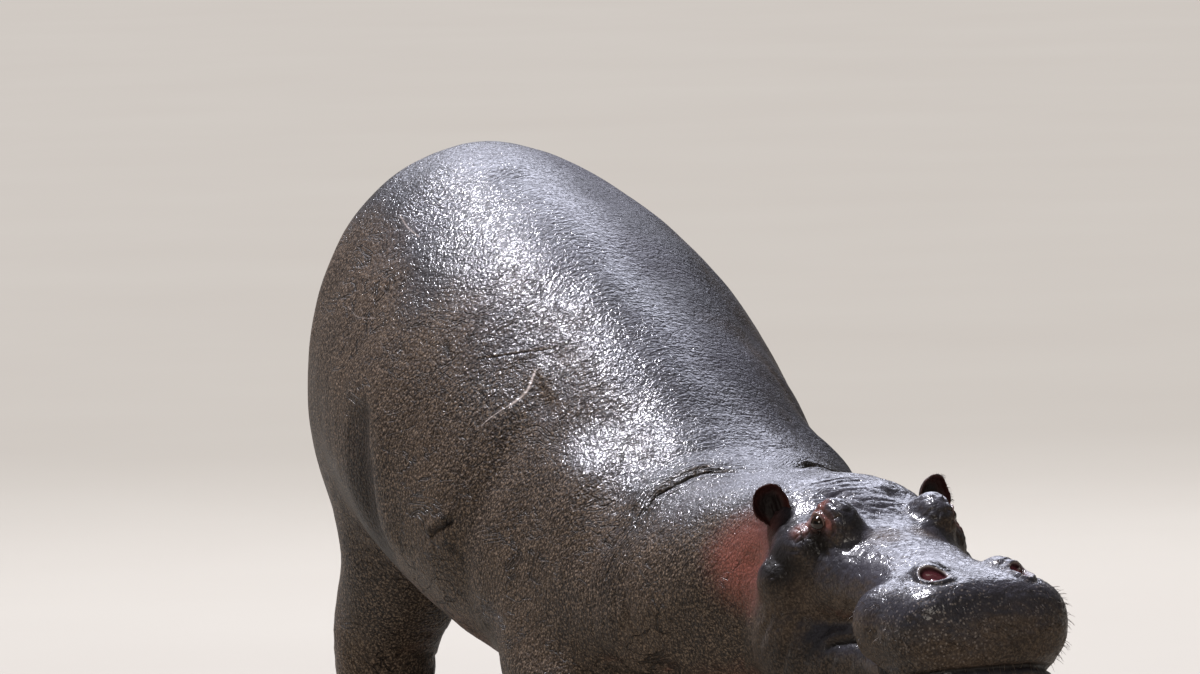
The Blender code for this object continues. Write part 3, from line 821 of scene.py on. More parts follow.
@dataclass(frozen=True)
class DampEarSkin:
    """Thin, damp ear skin: dark red-brown inside the cup with painted shade deep in it, finer wrinkles and a softer
    gloss than the hide.
    """

    inner: str = "#33120F"
    # Near-black painted shade deep in the cup.
    deep: str = "#0A0505"
    outer: str = "#2B2224"
    rim: str = "#401D19"
    mottled: str = "#140A0A"

    def build(self) -> bpy.types.Material:
        """Builds the material, which reads Object coordinates and the ear's own attributes."""
        skin = Finish("damp_ear_skin")
        mottle, fine = skin.noise(0.018, 4), skin.noise(0.004, 3)
        colour = skin.mix(skin.mask("cup"), self.outer, self.inner)
        for share, layer in (
            (skin.mask("edge"), self.rim),
            (skin.span(mottle, 0.35, 0.65, high=0.6), self.mottled),
            (skin.product(skin.mask("cup_shade"), 0.88), self.deep),
        ):
            colour = skin.mix(share, colour, layer)
        bump = skin.bump(skin.total(mottle, fine), 0.6, 0.0012)
        rough = skin.span(fine, low=0.50, high=0.75)
        return skin.done(
            {"Base Color": colour, "Roughness": rough, "Normal": bump, "IOR": 1.45, "Specular IOR Level": 0.30}
        )


@dataclass(frozen=True)
class WetEyeball:
    """A living eye: near-black slit pupil, dark brown iris and a muddy dark white under a clear tear film."""

    pupil: str = "#050303"
    iris: str = "#1C100A"
    iris_light: str = "#2A190F"
    iris_rim: str = "#140B07"
    white: str = "#231512"
    vein: str = "#160C0A"

    def build(self) -> bpy.types.Material:
        """Builds the material, which reads the eye's own attributes for pupil and iris."""
        eye = Finish("wet_eyeball")
        iris = eye.mask("iris")
        veins = eye.noise(0.003, 4, Distortion=1.5)
        ring = eye.mix(eye.span(iris, 0.70, 0.95), eye.mix(veins, self.iris, self.iris_light), self.iris_rim)
        inside = eye.span(iris, 0.86, 1.0, low=1.0, high=0.0)
        colour = eye.mix(inside, eye.mix(veins, self.white, self.vein), ring)
        colour = eye.mix(eye.span(eye.mask("slit"), 0.9, 1.1, low=1.0, high=0.0), colour, self.pupil)
        return eye.done(
            {"Base Color": colour, "Roughness": 0.12, "IOR": 1.34, "Coat Weight": 0.35, "Coat Roughness": 0.02}
        )


@dataclass(frozen=True)
class WornHorn:
    """Toenail horn worn on river gravel: satin, brown-grey, with growth rings and dirt in its pores."""

    horn: str = "#56483B"
    dark: str = "#2B221B"
    worn: str = "#85735F"
    ring: float = math.pi / 250  # from growth ring to growth ring, 12.6 mm

    def build(self) -> bpy.types.Material:
        """Builds the material, which reads Object coordinates and the nail's own attributes."""
        horn = Finish("worn_toenail_horn")
        stain, pores = horn.noise(0.022, 5), horn.noise(0.0035, 3)
        scale = 2 * math.pi / (20 * self.ring)  # at scale 1 the bands run as the sine of 20 z
        wave = {"Vector": horn.here, "Scale": scale, "Distortion": 1.2, "Detail": 2}
        rings = add(horn.tree, "TexWave", wave, bands_direction="Z").outputs["Fac"]
        colour = horn.mix(horn.span(stain, 0.35, 0.65), self.dark, self.horn)
        colour = horn.mix(horn.mask("wear"), colour, self.worn)
        bump = horn.bump(horn.total(rings, pores), 0.5, 0.0006)
        rough = horn.span(pores, low=0.50, high=0.80)
        return horn.done(
            {"Base Color": colour, "Roughness": rough, "Normal": bump, "IOR": 1.54, "Specular IOR Level": 0.35}
        )


@dataclass(frozen=True)
class Bristle:
    """Stiff keratin bristles, dark brown at the root and paler where they have split and dried at the tip."""

    root: str = "#2A1E17"
    tip: str = "#7A6650"

    def build(self) -> bpy.types.Material:
        """Builds the material, which reads how far along its bristle a place is."""
        keratin = Finish("keratin_bristle")
        colour = keratin.mix(keratin.product(keratin.mask("along"), keratin.noise(0.01)), self.root, self.tip)
        return keratin.done({"Base Color": colour, "Roughness": 0.42, "IOR": 1.55})


@dataclass(frozen=True)
class StudioFloor:
    """Pale matt studio floor, rolled flat: nearly even, with the faintest cloud of tone."""

    tone: str = "#A39F93"
    cloud: str = "#9E998D"

    def build(self) -> bpy.types.Material:
        """Builds the material."""
        floor = Finish("matt_studio_floor")
        colour = floor.mix(floor.noise(1 / 0.6, 3), self.tone, self.cloud)
        return floor.done({"Base Color": colour, "Roughness": 0.75})


# --------------------------------------------------------------------------------------------------------------
# Pieces


@dataclass
class Place:
    """Carries finished shapes into the frame, from the solids' own boxes."""

    eye_x: float = NOSE_X - 0.612  # the eyeball's centre as it is laid out here

    def __post_init__(self) -> None:
        """Reads how far the frame's origin lies ahead of x = 0."""
        low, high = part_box("eye_left")
        self.shift = (low.x + high.x) / 2 - self.eye_x

    def finish(
        self, obj: bpy.types.Object, material: bpy.types.Material, nodes: Sequence[str] = ()
    ) -> None:
        """Moves a piece into the frame, gives it its material, hangs it under the root and hides the solids that it
        replaces.

        Args:
            obj: the piece.
            material: its finish.
            nodes: the solids that it replaces.
        """
        put_points(obj.data, points_of(obj.data) + (self.shift, 0, 0))
        obj.data.materials.clear()
        obj.data.materials.append(material)
        obj.data.shade_smooth()
        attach(obj, "root")
        if nodes:
            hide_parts(*nodes)
        LOG.info("%s: %d points, %d faces", obj.name, len(obj.data.vertices), len(obj.data.polygons))


@dataclass
class EyeSocket:
    """The lids' own frame: gaze, forwards along the slit, and up across it, all for one eye."""

    side: Side
    radius: float = 0.025
    centre_from_nose: tuple = (0.604, 0.163, 0.151)  # back, out, up from LEVEL
    sunk: float = 0.006  # how far the ball's centre lies behind that place
    gaze: tuple = (0.60, 0.77, 0.20)  # ahead, out, up
    slit: tuple = (1.0, 0.0, -0.30)

    def __post_init__(self) -> None:
        """Works out the centre and the three axes."""
        self.axis = unit(on_side(self.side, self.gaze))
        self.centre = on_head(self.side, self.centre_from_nose) - self.sunk * self.axis
        self.forwards = square_to(on_side(self.side, self.slit), self.axis)
        upwards = np.cross(self.forwards, self.axis)
        self.upwards = upwards * np.sign(upwards[2])

    def local(self, points: np.ndarray) -> tuple[np.ndarray, np.ndarray, np.ndarray, np.ndarray]:
        """Distance from the centre, and the shares forwards, upwards and along the gaze."""
        away = points - self.centre
        return np.linalg.norm(away, axis=1), away @ self.forwards, away @ self.upwards, away @ self.axis


@dataclass
class Nostril:
    """One nostril: an oval opening with its own facing and lie."""

    side: Side
    centre_from_nose: tuple = (0.126, 0.104, 0.057)
    half_along: float = 0.034
    half_across: float = 0.0200
    depth: float = 0.026
    opens: tuple = (0.75, 0.50, 0.50)  # ahead, out, up
    lies: tuple = (0.4, -0.75, -0.5)

    def __post_init__(self) -> None:
        """Works out the centre and the axes."""
        self.centre = on_head(self.side, self.centre_from_nose)
        self.facing = unit(on_side(self.side, self.opens))
        self.along = square_to(on_side(self.side, self.lies), self.facing)
        self.across = np.cross(self.facing, self.along)

    def local(self, points: np.ndarray) -> tuple[np.ndarray, np.ndarray, np.ndarray]:
        """Shares along the opening, across it and out of it."""
        away = points - self.centre
        return away @ self.along, away @ self.across, away @ self.facing


@dataclass
class Hide:
    """The one skin over head, neck, trunk, legs and tail."""

    form: BodyForm
    sockets: list[EyeSocket]
    nostrils: list[Nostril]
    coarse: float = 0.024  # quads on the trunk
    fine: float = 0.010  # quads of the shape that head and feet are drawn to
    crease: tuple = (  # the fold round the root of the neck: x, out, z
        (1.700, 0.000, 0.830), (1.614, 0.089, 0.812), (1.555, 0.147, 0.801), (1.541, 0.200, 0.779),
        (1.521, 0.243, 0.757), (1.534, 0.276, 0.729), (1.551, 0.320, 0.678), (1.541, 0.358, 0.626),
        (1.535, 0.392, 0.550), (1.560, 0.390, 0.450), (1.610, 0.330, 0.340), (1.660, 0.200, 0.240),
        (1.680, 0.000, 0.205),
    )
    mouth: tuple = (  # the lips' line: back from the nose tip, up from LEVEL
        (-0.05, -0.140), (0.03, -0.150), (0.14, -0.172), (0.22, -0.165), (0.30, -0.140),
        (0.38, -0.118), (0.46, -0.106), (0.52, -0.115), (0.57, -0.138),
    )
    scars: tuple = (  # healed scratches: points (x, y, z), half width and paleness
        (((0.952, -0.301, 1.020), (0.968, -0.330, 0.980), (0.964, -0.347, 0.958), (0.951, -0.367, 0.940)),
         0.0031, 1.0),
        (((0.951, -0.367, 0.940), (0.925, -0.398, 0.915), (0.905, -0.425, 0.890)), 0.0014, 0.7),
        (((0.169, -0.309, 1.355), (0.240, -0.330, 1.340), (0.313, -0.318, 1.305)), 0.0016, 0.6),
        (((0.167, -0.459, 1.142), (0.250, -0.462, 1.118), (0.345, -0.460, 1.122)), 0.0012, 0.35),
        (((0.640, 0.420, 1.040), (0.700, 0.450, 0.990), (0.740, 0.470, 0.930)), 0.0018, 0.5),
    )
    cuts: tuple = (  # short folds of the flank: points, half width, depth and how much painted shade lies in the fold
        (((0.773, -0.386, 1.038), (0.838, -0.341, 1.051), (0.902, -0.291, 1.064), (0.960, -0.238, 1.070)),
         0.0032, 0.0010, 0.35),
        (((0.668, -0.405, 1.082), (0.684, -0.411, 1.062), (0.704, -0.416, 1.042)), 0.0065, 0.0012, 0.60),
        (((0.780, -0.514, 0.618), (0.815, -0.510, 0.642), (0.845, -0.504, 0.650), (0.888, -0.495, 0.672)),
         0.0065, 0.0090, 0.90),
        (((0.800, 0.512, 0.650), (0.850, 0.504, 0.640), (0.900, 0.492, 0.655)), 0.0060, 0.0070, 0.80),
    )
    elbow: tuple = (  # the hollow ahead of the barrel, behind the shoulder: x, out, z
        (1.02, 0.50, 0.95), (1.00, 0.51, 0.80), (0.93, 0.50, 0.62), (0.86, 0.46, 0.42),
    )
    side_folds: tuple = (  # beside the fold of the neck: how far ahead of it, and how deep
        (-0.021, 0.005), (-0.036, 0.004), (0.017, 0.003), (-0.052, 0.004), (-0.080, 0.005),
        (-0.112, 0.003), (0.040, 0.004), (0.075, 0.005), (0.115, 0.004), (0.160, 0.003),
    )
    # Places on the head: back, out and up, after what is done there, and the size.
    face: tuple = (  # heights
        (-0.010, 0.500, 0.115, 0.120, 0.055),  # hollow ahead of the eye
        (-0.008, 0.600, 0.000, 0.170, 0.060),  # dished forehead
        (0.008, 0.600, 0.135, 0.200, 0.050),  # brow
        (-0.008, 0.150, 0.000, 0.072, 0.045),  # dip between the nostrils
        (0.010, 0.250, 0.190, -0.040, 0.070),  # tusk socket in the lip
        (-0.008, 0.345, 0.130, 0.030, 0.070),  # waist of the snout
        (0.018, 0.700, 0.235, 0.026, 0.070),  # lobe below the ear
        (-0.015, 0.800, 0.235, 0.050, 0.042),  # hollow behind it
        (-0.010, 0.705, 0.075, 0.205, 0.030),  # dent behind the eye mound
    )
    flushed: tuple = (  # how pink
        (1.00, 0.850, 0.270, 0.080, 0.120),  # neck and cheek behind the ear
        (0.75, 0.800, 0.250, 0.090, 0.055),  # below the ear
        (0.85, 0.628, 0.160, 0.180, 0.034),  # above the eye
        (0.60, 0.640, 0.195, 0.140, 0.030),  # behind the eye
    )
    shade_patches: tuple = (  # how much painted shade
        (1.00, 0.585, 0.178, 0.108, 0.044),  # under the eye
        (0.95, 0.672, 0.228, 0.050, 0.072),  # the lobe below the ear
        (0.80, 0.700, 0.190, 0.135, 0.046),  # between ear and eye
        (0.30, 0.545, 0.120, 0.165, 0.034),  # front of the eye mound
        (0.90, 0.676, 0.060, 0.190, 0.042),  # behind the eye mound
    )
    shaded_hollows: tuple = ((0.60, 0.480, 0.045, 0.140, 0.050),)  # how brown, with the slate's painted sky reflection taken off: painted shade in the hollow of the bridge
    lid_half_width: float = 0.0212
    lid_half_heights: tuple = (0.0138, 0.0108)  # above and below the slit's middle
    lid_rings: tuple = (  # folds round the lids: distance, depth above and depth below
        (0.0225, 0.0040, 0.0022),
        (0.0300, 0.0018, 0.0014),
        (0.0385, 0.0034, 0.0010),
        (0.0470, 0.0014, 0.0006),
    )
    bags: tuple = (  # folds under the eye: distance, depth, and where each begins and ends
        (0.0040, 0.0045, 0.022, 0.064),
        (0.0195, 0.0060, -0.004, 0.072),
        (0.0360, 0.0055, -0.008, 0.070),
        (0.0530, 0.0040, 0.000, 0.060),
    )
    # Depths and heights of single forms, in metres.
    spine_depth: float = 0.005
    cleft_depth: float = 0.020  # under the tail
    elbow_depth: float = 0.012
    crease_depth: float = 0.019
    roll_height: float = 0.011  # behind the crease
    crease_lip: float = 0.004  # ahead of it
    crown_depth: float = 0.0060
    throat_depth: float = 0.006
    mouth_depth: float = 0.014
    lip_height: float = 0.006
    nose_bulge: float = 0.009
    nose_rim_height: float = 0.0060
    nose_groove: float = 0.0025
    lid_thickness: float = 0.0042
    lid_tuck: float = 0.004  # how far the skin goes behind the eyeball's surface
    shank_depth: float = 0.006
    flank_fold_depth: float = 0.018
    flank_fold_swell: float = 0.006
    crown_spacing: float = 0.024  # from wrinkle to wrinkle
    throat_spacing: float = 0.075
    shank_spacing: float = 0.052
    # Where the quads are halved.
    head_from: float = 1.93  # x where the head's finer quads begin
    foot_below: float = 0.15
    fold_reaches: tuple = (0.13, 0.045)  # round the neck's fold, at the first and second halving
    scar_reaches: tuple = (0.034, 0.019, 0.011, 0.0065)  # round scars, step by step
    cut_reach: float = 0.01  # cuts have no step finer than this
    eye_reach: float = 0.068
    nose_reach: float = 0.052
    mesh: bpy.types.Mesh = field(init=False, default=None)

    def build(self) -> bpy.types.Object:
        """Fuses, refines and sculpts the hide.

        Returns:
            The finished object, still laid out from the rump.
        """
        obj = new_object("hide", write_mesh("hide", self.form.flesh()))
        fuse(obj, self.coarse)
        self.mesh = obj.data
        self._soften_body()
        self._join_tail(obj)
        self.mesh = obj.data
        self._refine(obj)
        self._draw_to_fine(obj)
        self.mesh = obj.data
        self._sculpt()
        return obj

    def _soften_body(self) -> None:
        """Softens the trunk by a bell about 41 mm wide, and head and feet by a fifth of that."""
        points = points_of(self.mesh)
        head = np.clip((points[:, 0] - 1.85) / 0.25, 0, 1)
        foot = np.clip((0.30 - points[:, 2]) / 0.15, 0, 1) * (points[:, 0] < 1.7)
        put_points(self.mesh, relaxed(points, edges_of(self.mesh), 1 - 0.8 * np.maximum(head, foot), 14))

    def _join_tail(self, obj: bpy.types.Object) -> None:
        """Unites the tail's tube with the rump and softens the root."""
        tail = new_object("tail_tube", write_mesh("tail_tube", self.form.tail_tube()))
        union = obj.modifiers.new("tail", "BOOLEAN")
        union.operation = "UNION"
        union.object = tail
        union.solver = "EXACT"
        settle(obj)
        bpy.data.objects.remove(tail)
        points = points_of(obj.data)
        root = bell(np.linalg.norm(points - (-0.455, 0, 1.16), axis=1), 0.13)
        put_points(obj.data, relaxed(points, edges_of(obj.data), root, 12))

    def _refine(self, obj: bpy.types.Object) -> None:
        """Halves the quads in steps: head, feet and neck fold; face and fold; scars and cuts; eyes and nose."""
        path = catmull_rom(self.crease, PATH_STEPS)

        def off_crease(p: np.ndarray) -> np.ndarray:
            """How far a place is from the fold of the neck, on either side, or a long way when it isn't near."""
            far = np.full(len(p), 9.0)
            close = np.abs(p[:, 0] - 1.6) < 0.35
            if close.any():
                far[close] = np.linalg.norm(near_path(on_left(p[close]), path)[0], axis=1)
            return far

        def on_face(p: np.ndarray) -> np.ndarray:
            """Whether a place is on the upper head, or on the muzzle further down."""
            x, _, z = p.T
            return (x > 1.99) & ((z > 0.48) | ((x > 2.56) & (z > 0.34)))

        def near_any(p: np.ndarray, lines: Sequence[np.ndarray], reach: float) -> np.ndarray:
            """Whether a place is within reach of one of the lines."""
            return np.logical_or.reduce([np.linalg.norm(near_path(p, line)[0], axis=1) < reach for line in lines])

        spots = [(s.centre + (0.010, 0.0, -0.010), self.eye_reach) for s in self.sockets]
        spots += [(n.centre, self.nose_reach) for n in self.nostrils]
        wide, narrow = self.fold_reaches
        refine(
            self.mesh,
            lambda p: (p[:, 0] > self.head_from) | (off_crease(p) < wide) | (p[:, 2] < self.foot_below),
        )
        refine(self.mesh, lambda p: on_face(p) | ((off_crease(p) < narrow) & (p[:, 2] > 0.55)))
        self.scar_lines, self.cut_lines = (
            [self._laid(obj, kind[0]) for kind in kinds] for kinds in (self.scars, self.cuts)
        )
        for reach in self.scar_reaches:
            lines = self.scar_lines + (self.cut_lines if reach > self.cut_reach else [])
            refine(self.mesh, lambda p: near_any(p, lines, reach))
        refine(
            self.mesh,
            lambda p: np.logical_or.reduce([np.linalg.norm(p - c, axis=1) < size for c, size in spots]),
        )

    @staticmethod
    def _laid(obj: bpy.types.Object, line: Sequence[Sequence[float]]) -> np.ndarray:
        """A smooth line through some places, laid onto the hide."""
        return np.array([obj.closest_point_on_mesh(Vector(at))[1] for at in catmull_rom(line, PATH_STEPS)])

    def _draw_to_fine(self, obj: bpy.types.Object) -> None:
        """Draws head and feet onto a finer fusing of the same flesh, and softens what is left of the facets."""
        model = new_object("fine_form", write_mesh("fine_form", self.form.flesh()))
        fuse(model, self.fine)
        put_points(model.data, relaxed(points_of(model.data), edges_of(model.data), 1.0, 6))
        points = points_of(obj.data)
        edges = edges_of(obj.data)
        head = ramp(points[:, 0], 1.93, 2.12)
        foot = 1 - ramp(points[:, 2], 0.14, 0.24)
        near_floor = foot * (points[:, 0] < 1.8)
        points = relaxed(points, edges, 1 - near_floor * 0.7, 4)
        put_points(obj.data, points)
        group = obj.vertex_groups.new(name="drawn")
        weights = np.maximum(head, near_floor)
        steps = np.round(weights * 20).astype(int)
        for step in np.unique(steps[steps > 0]):
            group.add(np.nonzero(steps == step)[0].tolist(), step / 20, "REPLACE")
        wrap = obj.modifiers.new("draw", "SHRINKWRAP")
        wrap.target = model
        wrap.wrap_method = "NEAREST_SURFACEPOINT"
        wrap.vertex_group = "drawn"
        settle(obj)
        bpy.data.objects.remove(model)
        put_points(obj.data, relaxed(points_of(obj.data), edges_of(obj.data), 1.0, 3))

    def _sculpt(self) -> None:
        """Adds every form and fold in turn, and keeps the masks that the material reads."""
        points = points_of(self.mesh)
        self.marks = {name: np.zeros(len(points)) for name in MARKS}
        self._mark_scars(points)
        cut = self._cut(points)
        points = pushed(self.mesh, points, self._broad_forms(points))
        points = pushed(self.mesh, points, self._neck_folds(points))
        points = pushed(self.mesh, points, cut)
        points = pushed(self.mesh, points, self._head_forms(points))
        points = self._mouth_line(points)
        points = self._open_nostrils(points)
        points = self._lids(points)
        pushed(self.mesh, points, self._wrinkles(points))
        self._stand()
        self._masks(points_of(self.mesh))

    def _mark(self, name: str, share: np.ndarray, where: np.ndarray | slice = slice(None)) -> None:
        """Keeps the stronger of the mark that is there already and this one."""
        self.marks[name][where] = np.maximum(self.marks[name][where], share)

    def _mark_scars(self, points: np.ndarray) -> None:
        """Marks how far each point belongs to a scar, before the sculpting moves the hide."""
        for path, (_, width, paleness) in zip(self.scar_lines, self.scars):
            near = np.linalg.norm(points - path.mean(axis=0), axis=1) < 0.2
            away = np.linalg.norm(near_path(points[near], path)[0], axis=1)
            self._mark("scar", paleness * bell(away, width), near)

    def _cut(self, points: np.ndarray) -> np.ndarray:
        """The short folds of the flank: grooves that run out at both ends, with a low swell above and painted shade
        along each.
        """
        height = np.zeros(len(points))
        for path, (_, width, depth, dark) in zip(self.cut_lines, self.cuts):
            near = np.linalg.norm(points - path.mean(axis=0), axis=1) < 0.25
            offset, along = near_path(points[near], path)
            away = np.linalg.norm(offset, axis=1) + 0.4 * width * lattice_noise(points[near], 0.015, 71)
            ends = window(along, 0.16, 0.84, 0.15)
            above = np.sign(offset[:, 2]) * away
            height[near] += depth * ends * (0.35 * bell(above - 2.5 * width, 2.2 * width) - bell(away, width))
            # Painted shade along the groove.
            self._mark("painted_shade", dark * bell(away, width) * ends, near)
        return height

    def _broad_forms(self, points: np.ndarray) -> np.ndarray:
        """The furrow of the back, the cleft under the tail, the hollow behind the shoulder, and swells of fat."""
        x, y, z = points.T
        on_back = window(x, 0.25, 1.42, 0.25) * ramp(z, 0.55, 0.75)
        spine = -self.spine_depth * bell(y - 0.040, 0.050) * on_back
        swell = 0.005 * (bell(y + 0.12, 0.12) + bell(y - 0.20, 0.12)) * on_back
        cleft = -self.cleft_depth * bell(y, 0.035) * (1 - ramp(x, -0.36, -0.22)) * window(z, 0.60, 1.02, 0.12)
        body = 1 - ramp(x, 1.75, 2.0)
        fat = 0.007 * lattice_noise(points, 0.30, 3) + 0.003 * lattice_noise(points, 0.12, 4)
        offset, _ = near_path(on_left(points), catmull_rom(self.elbow, PATH_STEPS))
        elbow = -self.elbow_depth * bell(offset[:, 0], 0.05)
        elbow = elbow * window(z, 0.42, 0.95, 0.12) * (np.abs(y) > 0.30) * window(x, 0.70, 1.30, 0.1)
        return spine + swell + cleft + body * fat + elbow

    def _neck_folds(self, points: np.ndarray) -> np.ndarray:
        """The deep fold at the root of the neck, the roll behind it, the lip ahead, and finer folds beside it."""
        height = np.zeros(len(points))
        near = np.nonzero(np.abs(points[:, 0] - 1.60) < 0.45)[0]
        offset, along = near_path(on_left(points[near]), catmull_rom(self.crease, PATH_STEPS))
        distance = np.linalg.norm(offset, axis=1)
        ahead = np.sign(offset[:, 0] + 0.3 * offset[:, 2]) * distance
        # Strongest at the side of the neck's root, fading on the throat.
        strength = 0.12 + 0.88 * window(along, 0.13, 0.37, 0.13)
        wander = 0.008 * lattice_noise(points[near], 0.10, 8)
        groove = -self.crease_depth * bell(ahead + wander, 0.0080) * strength * (0.85 + 0.15 * np.cos(40 * along))
        roll = self.roll_height * bell(ahead + 0.040, 0.042) * strength
        lip = self.crease_lip * bell(ahead - 0.024, 0.018) * strength
        minor = np.zeros(len(near))
        for place, depth in self.side_folds:
            line = bell(ahead - place + 2.2 * wander, 0.008)
            patchy = ramp(lattice_noise(points[near], 0.16, 17 + int(1000 * abs(place))), -0.30, 0.30)
            minor -= depth * line * patchy
        height[near] = groove + roll + lip + minor
        # Painted shade in the fold of the neck.
        self._mark("painted_shade", 0.92 * bell(ahead + wander, 0.0115) * strength, near)
        self.pleat_place = np.zeros(len(points))
        self.pleated = np.zeros(len(points))
        self.pleat_place[near] = ahead
        self.pleated[near] = window(along, 0.10, 0.62, 0.12) * bell(ahead + 0.01, 0.075)
        return height

    def _head_forms(self, points: np.ndarray) -> np.ndarray:
        """Hollows and swells of the face, and the wrinkled crown between the ears."""
        back, out, up = head_places(points)
        height = np.zeros(len(points))
        for deep, *place, size in self.face:
            height += deep * bell(away_from(points, place), size)
        # Crown: short wrinkles across the poll.
        crown = bell(np.sqrt((back - 0.765) ** 2 + (0.75 * out) ** 2), 0.115) * (up > 0.10)
        bent = back + 0.35 * out**2 + 0.012 * lattice_noise(points, 0.06, 21)
        broken = ramp(lattice_noise(points, (0.05, 0.09, 0.05), 23), -0.15, 0.35)
        height += -self.crown_depth * crown * broken * ridges(bent, self.crown_spacing)
        # Loose skin of the throat and jowl: folds that run down and back.
        throat = window(back, 0.55, 1.05, 0.15) * (1 - ramp(up, -0.16, 0.0))
        bent = back + 0.5 * up + 0.02 * lattice_noise(points, 0.10, 22)
        height += -self.throat_depth * throat * ridges(bent, self.throat_spacing)
        return height * ramp(points[:, 0], 1.72, 1.86)

    def _mouth_line(self, points: np.ndarray) -> np.ndarray:
        """The line between the lips: a groove in side view, 14 mm deep, with a swollen lip above it."""
        back, _, up = head_places(points)
        region = np.nonzero((back < 0.62) & (up < -0.05) & (up > -0.25))[0]
        flat = np.stack([back[region], np.zeros(len(region)), up[region]], axis=1)
        path = catmull_rom(self.mouth, 6)
        path = np.stack([path[:, 0], np.zeros(len(path)), path[:, 1]], axis=1)
        offset, along = near_path(flat, path)
        distance = np.linalg.norm(offset, axis=1) * np.sign(offset[:, 2])
        sideways = 1 - np.abs(normals_of(self.mesh)[region, 2]) ** 4
        fade = (1 - ramp(along, 0.90, 1.0)) * sideways
        height = np.zeros(len(points))
        groove = -self.mouth_depth * bell(distance, 0.0075)
        height[region] = (groove + self.lip_height * bell(distance - 0.022, 0.016)) * fade
        # Painted shade in the groove between the lips.
        self._mark("painted_shade", 0.9 * bell(distance, 0.007) * fade, region)
        return pushed(self.mesh, points, height)

    def _open_nostrils(self, points: np.ndarray) -> np.ndarray:
        """Each nostril: an oval pit with a soft bulge on its floor, a raised rim and a groove round that.

        With q the distance in the oval's own measure, the pit goes in by depth(1 - q^3) for q below 1, less a bulge
        of 9 mm in its middle, and the rim rises by 6 mm at q = 1.28.
        """
        for nostril in self.nostrils:
            along, across, out = nostril.local(points)
            bend = across - 3.5 * along**2
            q = np.sqrt((along / nostril.half_along) ** 2 + (bend / nostril.half_across) ** 2)
            near = (np.abs(out) < 0.06) & (q < 4)
            pit = nostril.depth * np.clip(1 - q**3, 0, 1) - self.nose_bulge * bell(q, 0.5)
            rim = self.nose_rim_height * bell(q - 1.28, 0.26) - self.nose_groove * bell(q - 1.85, 0.22)
            move = np.where(near, rim - np.where(q < 1, pit, 0), 0)
            points = points + nostril.facing * move[:, None]
            self._mark("inner_nose", near * (1 - ramp(q, 0.82, 1.05)))
            self._mark("nose_rim", near * bell(q - 1.26, 0.24))
            self._mark("nose_edge", near * bell(q - 1.10, 0.08))
            # Painted shade just inside the rim and in the groove round it.
            self._mark("painted_shade", near * (0.85 * bell(q - 0.90, 0.11) + 0.3 * bell(q - 1.85, 0.2)))
        put_points(self.mesh, points)
        return points

    def _lids(self, points: np.ndarray) -> np.ndarray:
        """The lids: skin drawn over the eyeball with an almond opening, and folds above and below.

        With q the distance in the almond's own measure, skin inside q = 1 goes behind the eyeball, its edge stands
        4 mm proud of it, and between 28 and 48 mm from the gaze it blends back to the face. Folds are wide rings
        round the gaze, deeper above, and bags run forwards and down below.
        """
        for socket in self.sockets:
            distance, forwards, upwards, gaze = socket.local(points)
            half_height = np.where(upwards > 0, *self.lid_half_heights)
            q = np.sqrt((forwards / self.lid_half_width) ** 2 + (upwards / half_height) ** 2)
            radial = np.sqrt(forwards**2 + upwards**2)
            near = (distance < 0.085) * ramp(gaze, -0.022, -0.006)
            direction = unit(points - socket.centre)
            swell = (0.0015 + 0.0030 * ramp(upwards, 0.0, 0.012)) * bell(q - 1.35, 0.35)
            lid_height = socket.radius + self.lid_thickness + swell
            behind = socket.radius - self.lid_tuck
            wanted = behind + (lid_height - behind) * ramp(q, 0.86, 1.14)
            blend = (1 - ramp(radial, 0.028, 0.048)) * near
            target = socket.centre + direction * wanted[:, None]
            points = points + (target - points) * blend[:, None]
            # Folds as rings.
            below = ramp(-upwards, -0.006, 0.010)
            reach = np.sqrt((forwards / 1.35) ** 2 + (upwards / 0.95) ** 2)
            wander = 0.0016 * lattice_noise(points, 0.014, 31)
            folds = np.zeros(len(points))
            dark = np.zeros(len(points))
            for ring, depth_above, depth_below in self.lid_rings:
                depth = depth_above + (depth_below - depth_above) * below
                line = bell(reach - ring + wander, 0.0030)
                folds += depth * (0.55 * bell(reach - ring - 0.0042, 0.0032) - line)
                dark = np.maximum(dark, line * depth / 0.0046)
            outside = ramp(q, 1.05, 1.35) * near * (1 - ramp(reach, 0.048, 0.062))
            points = points + direction * (folds * outside)[:, None]
            # Painted shade in the folds round the lids.
            self._mark("painted_shade", 0.9 * dark * outside)
            # Bags that run forwards and down from the corner of the eye.
            run = 0.80 * forwards - 0.60 * upwards
            side = -0.60 * forwards - 0.80 * upwards
            bags = np.zeros(len(points))
            for place, depth, begin, end in self.bags:
                line = bell(side - place + wander + 2.5 * (run - 0.035) ** 2, 0.0040)
                share = window(run, begin, end, 0.014) * near * ramp(q, 1.15, 1.45)
                bags += depth * share * (0.6 * bell(side - place - 0.0085 + wander, 0.0055) - line)
                # Painted shade in the bag's fold.
                self._mark("painted_shade", 0.9 * line * share)
            points = points + direction * bags[:, None]
            # Painted shade where the lids tuck behind the eyeball.
            self._mark("painted_shade", near * 0.8 * (1 - ramp(q, 0.9, 1.15)))
            self._mark("lid", near * (1 - ramp(reach, 0.016, 0.050)))
            above = ramp(upwards + 0.9 * np.maximum(-forwards, 0), 0.000, 0.008) * near
            self._mark("brow", above * bell(reach - 0.029, 0.0105))
            self._mark("lid_edge", above * bell(q - 1.16, 0.13))
        put_points(self.mesh, points)
        return points

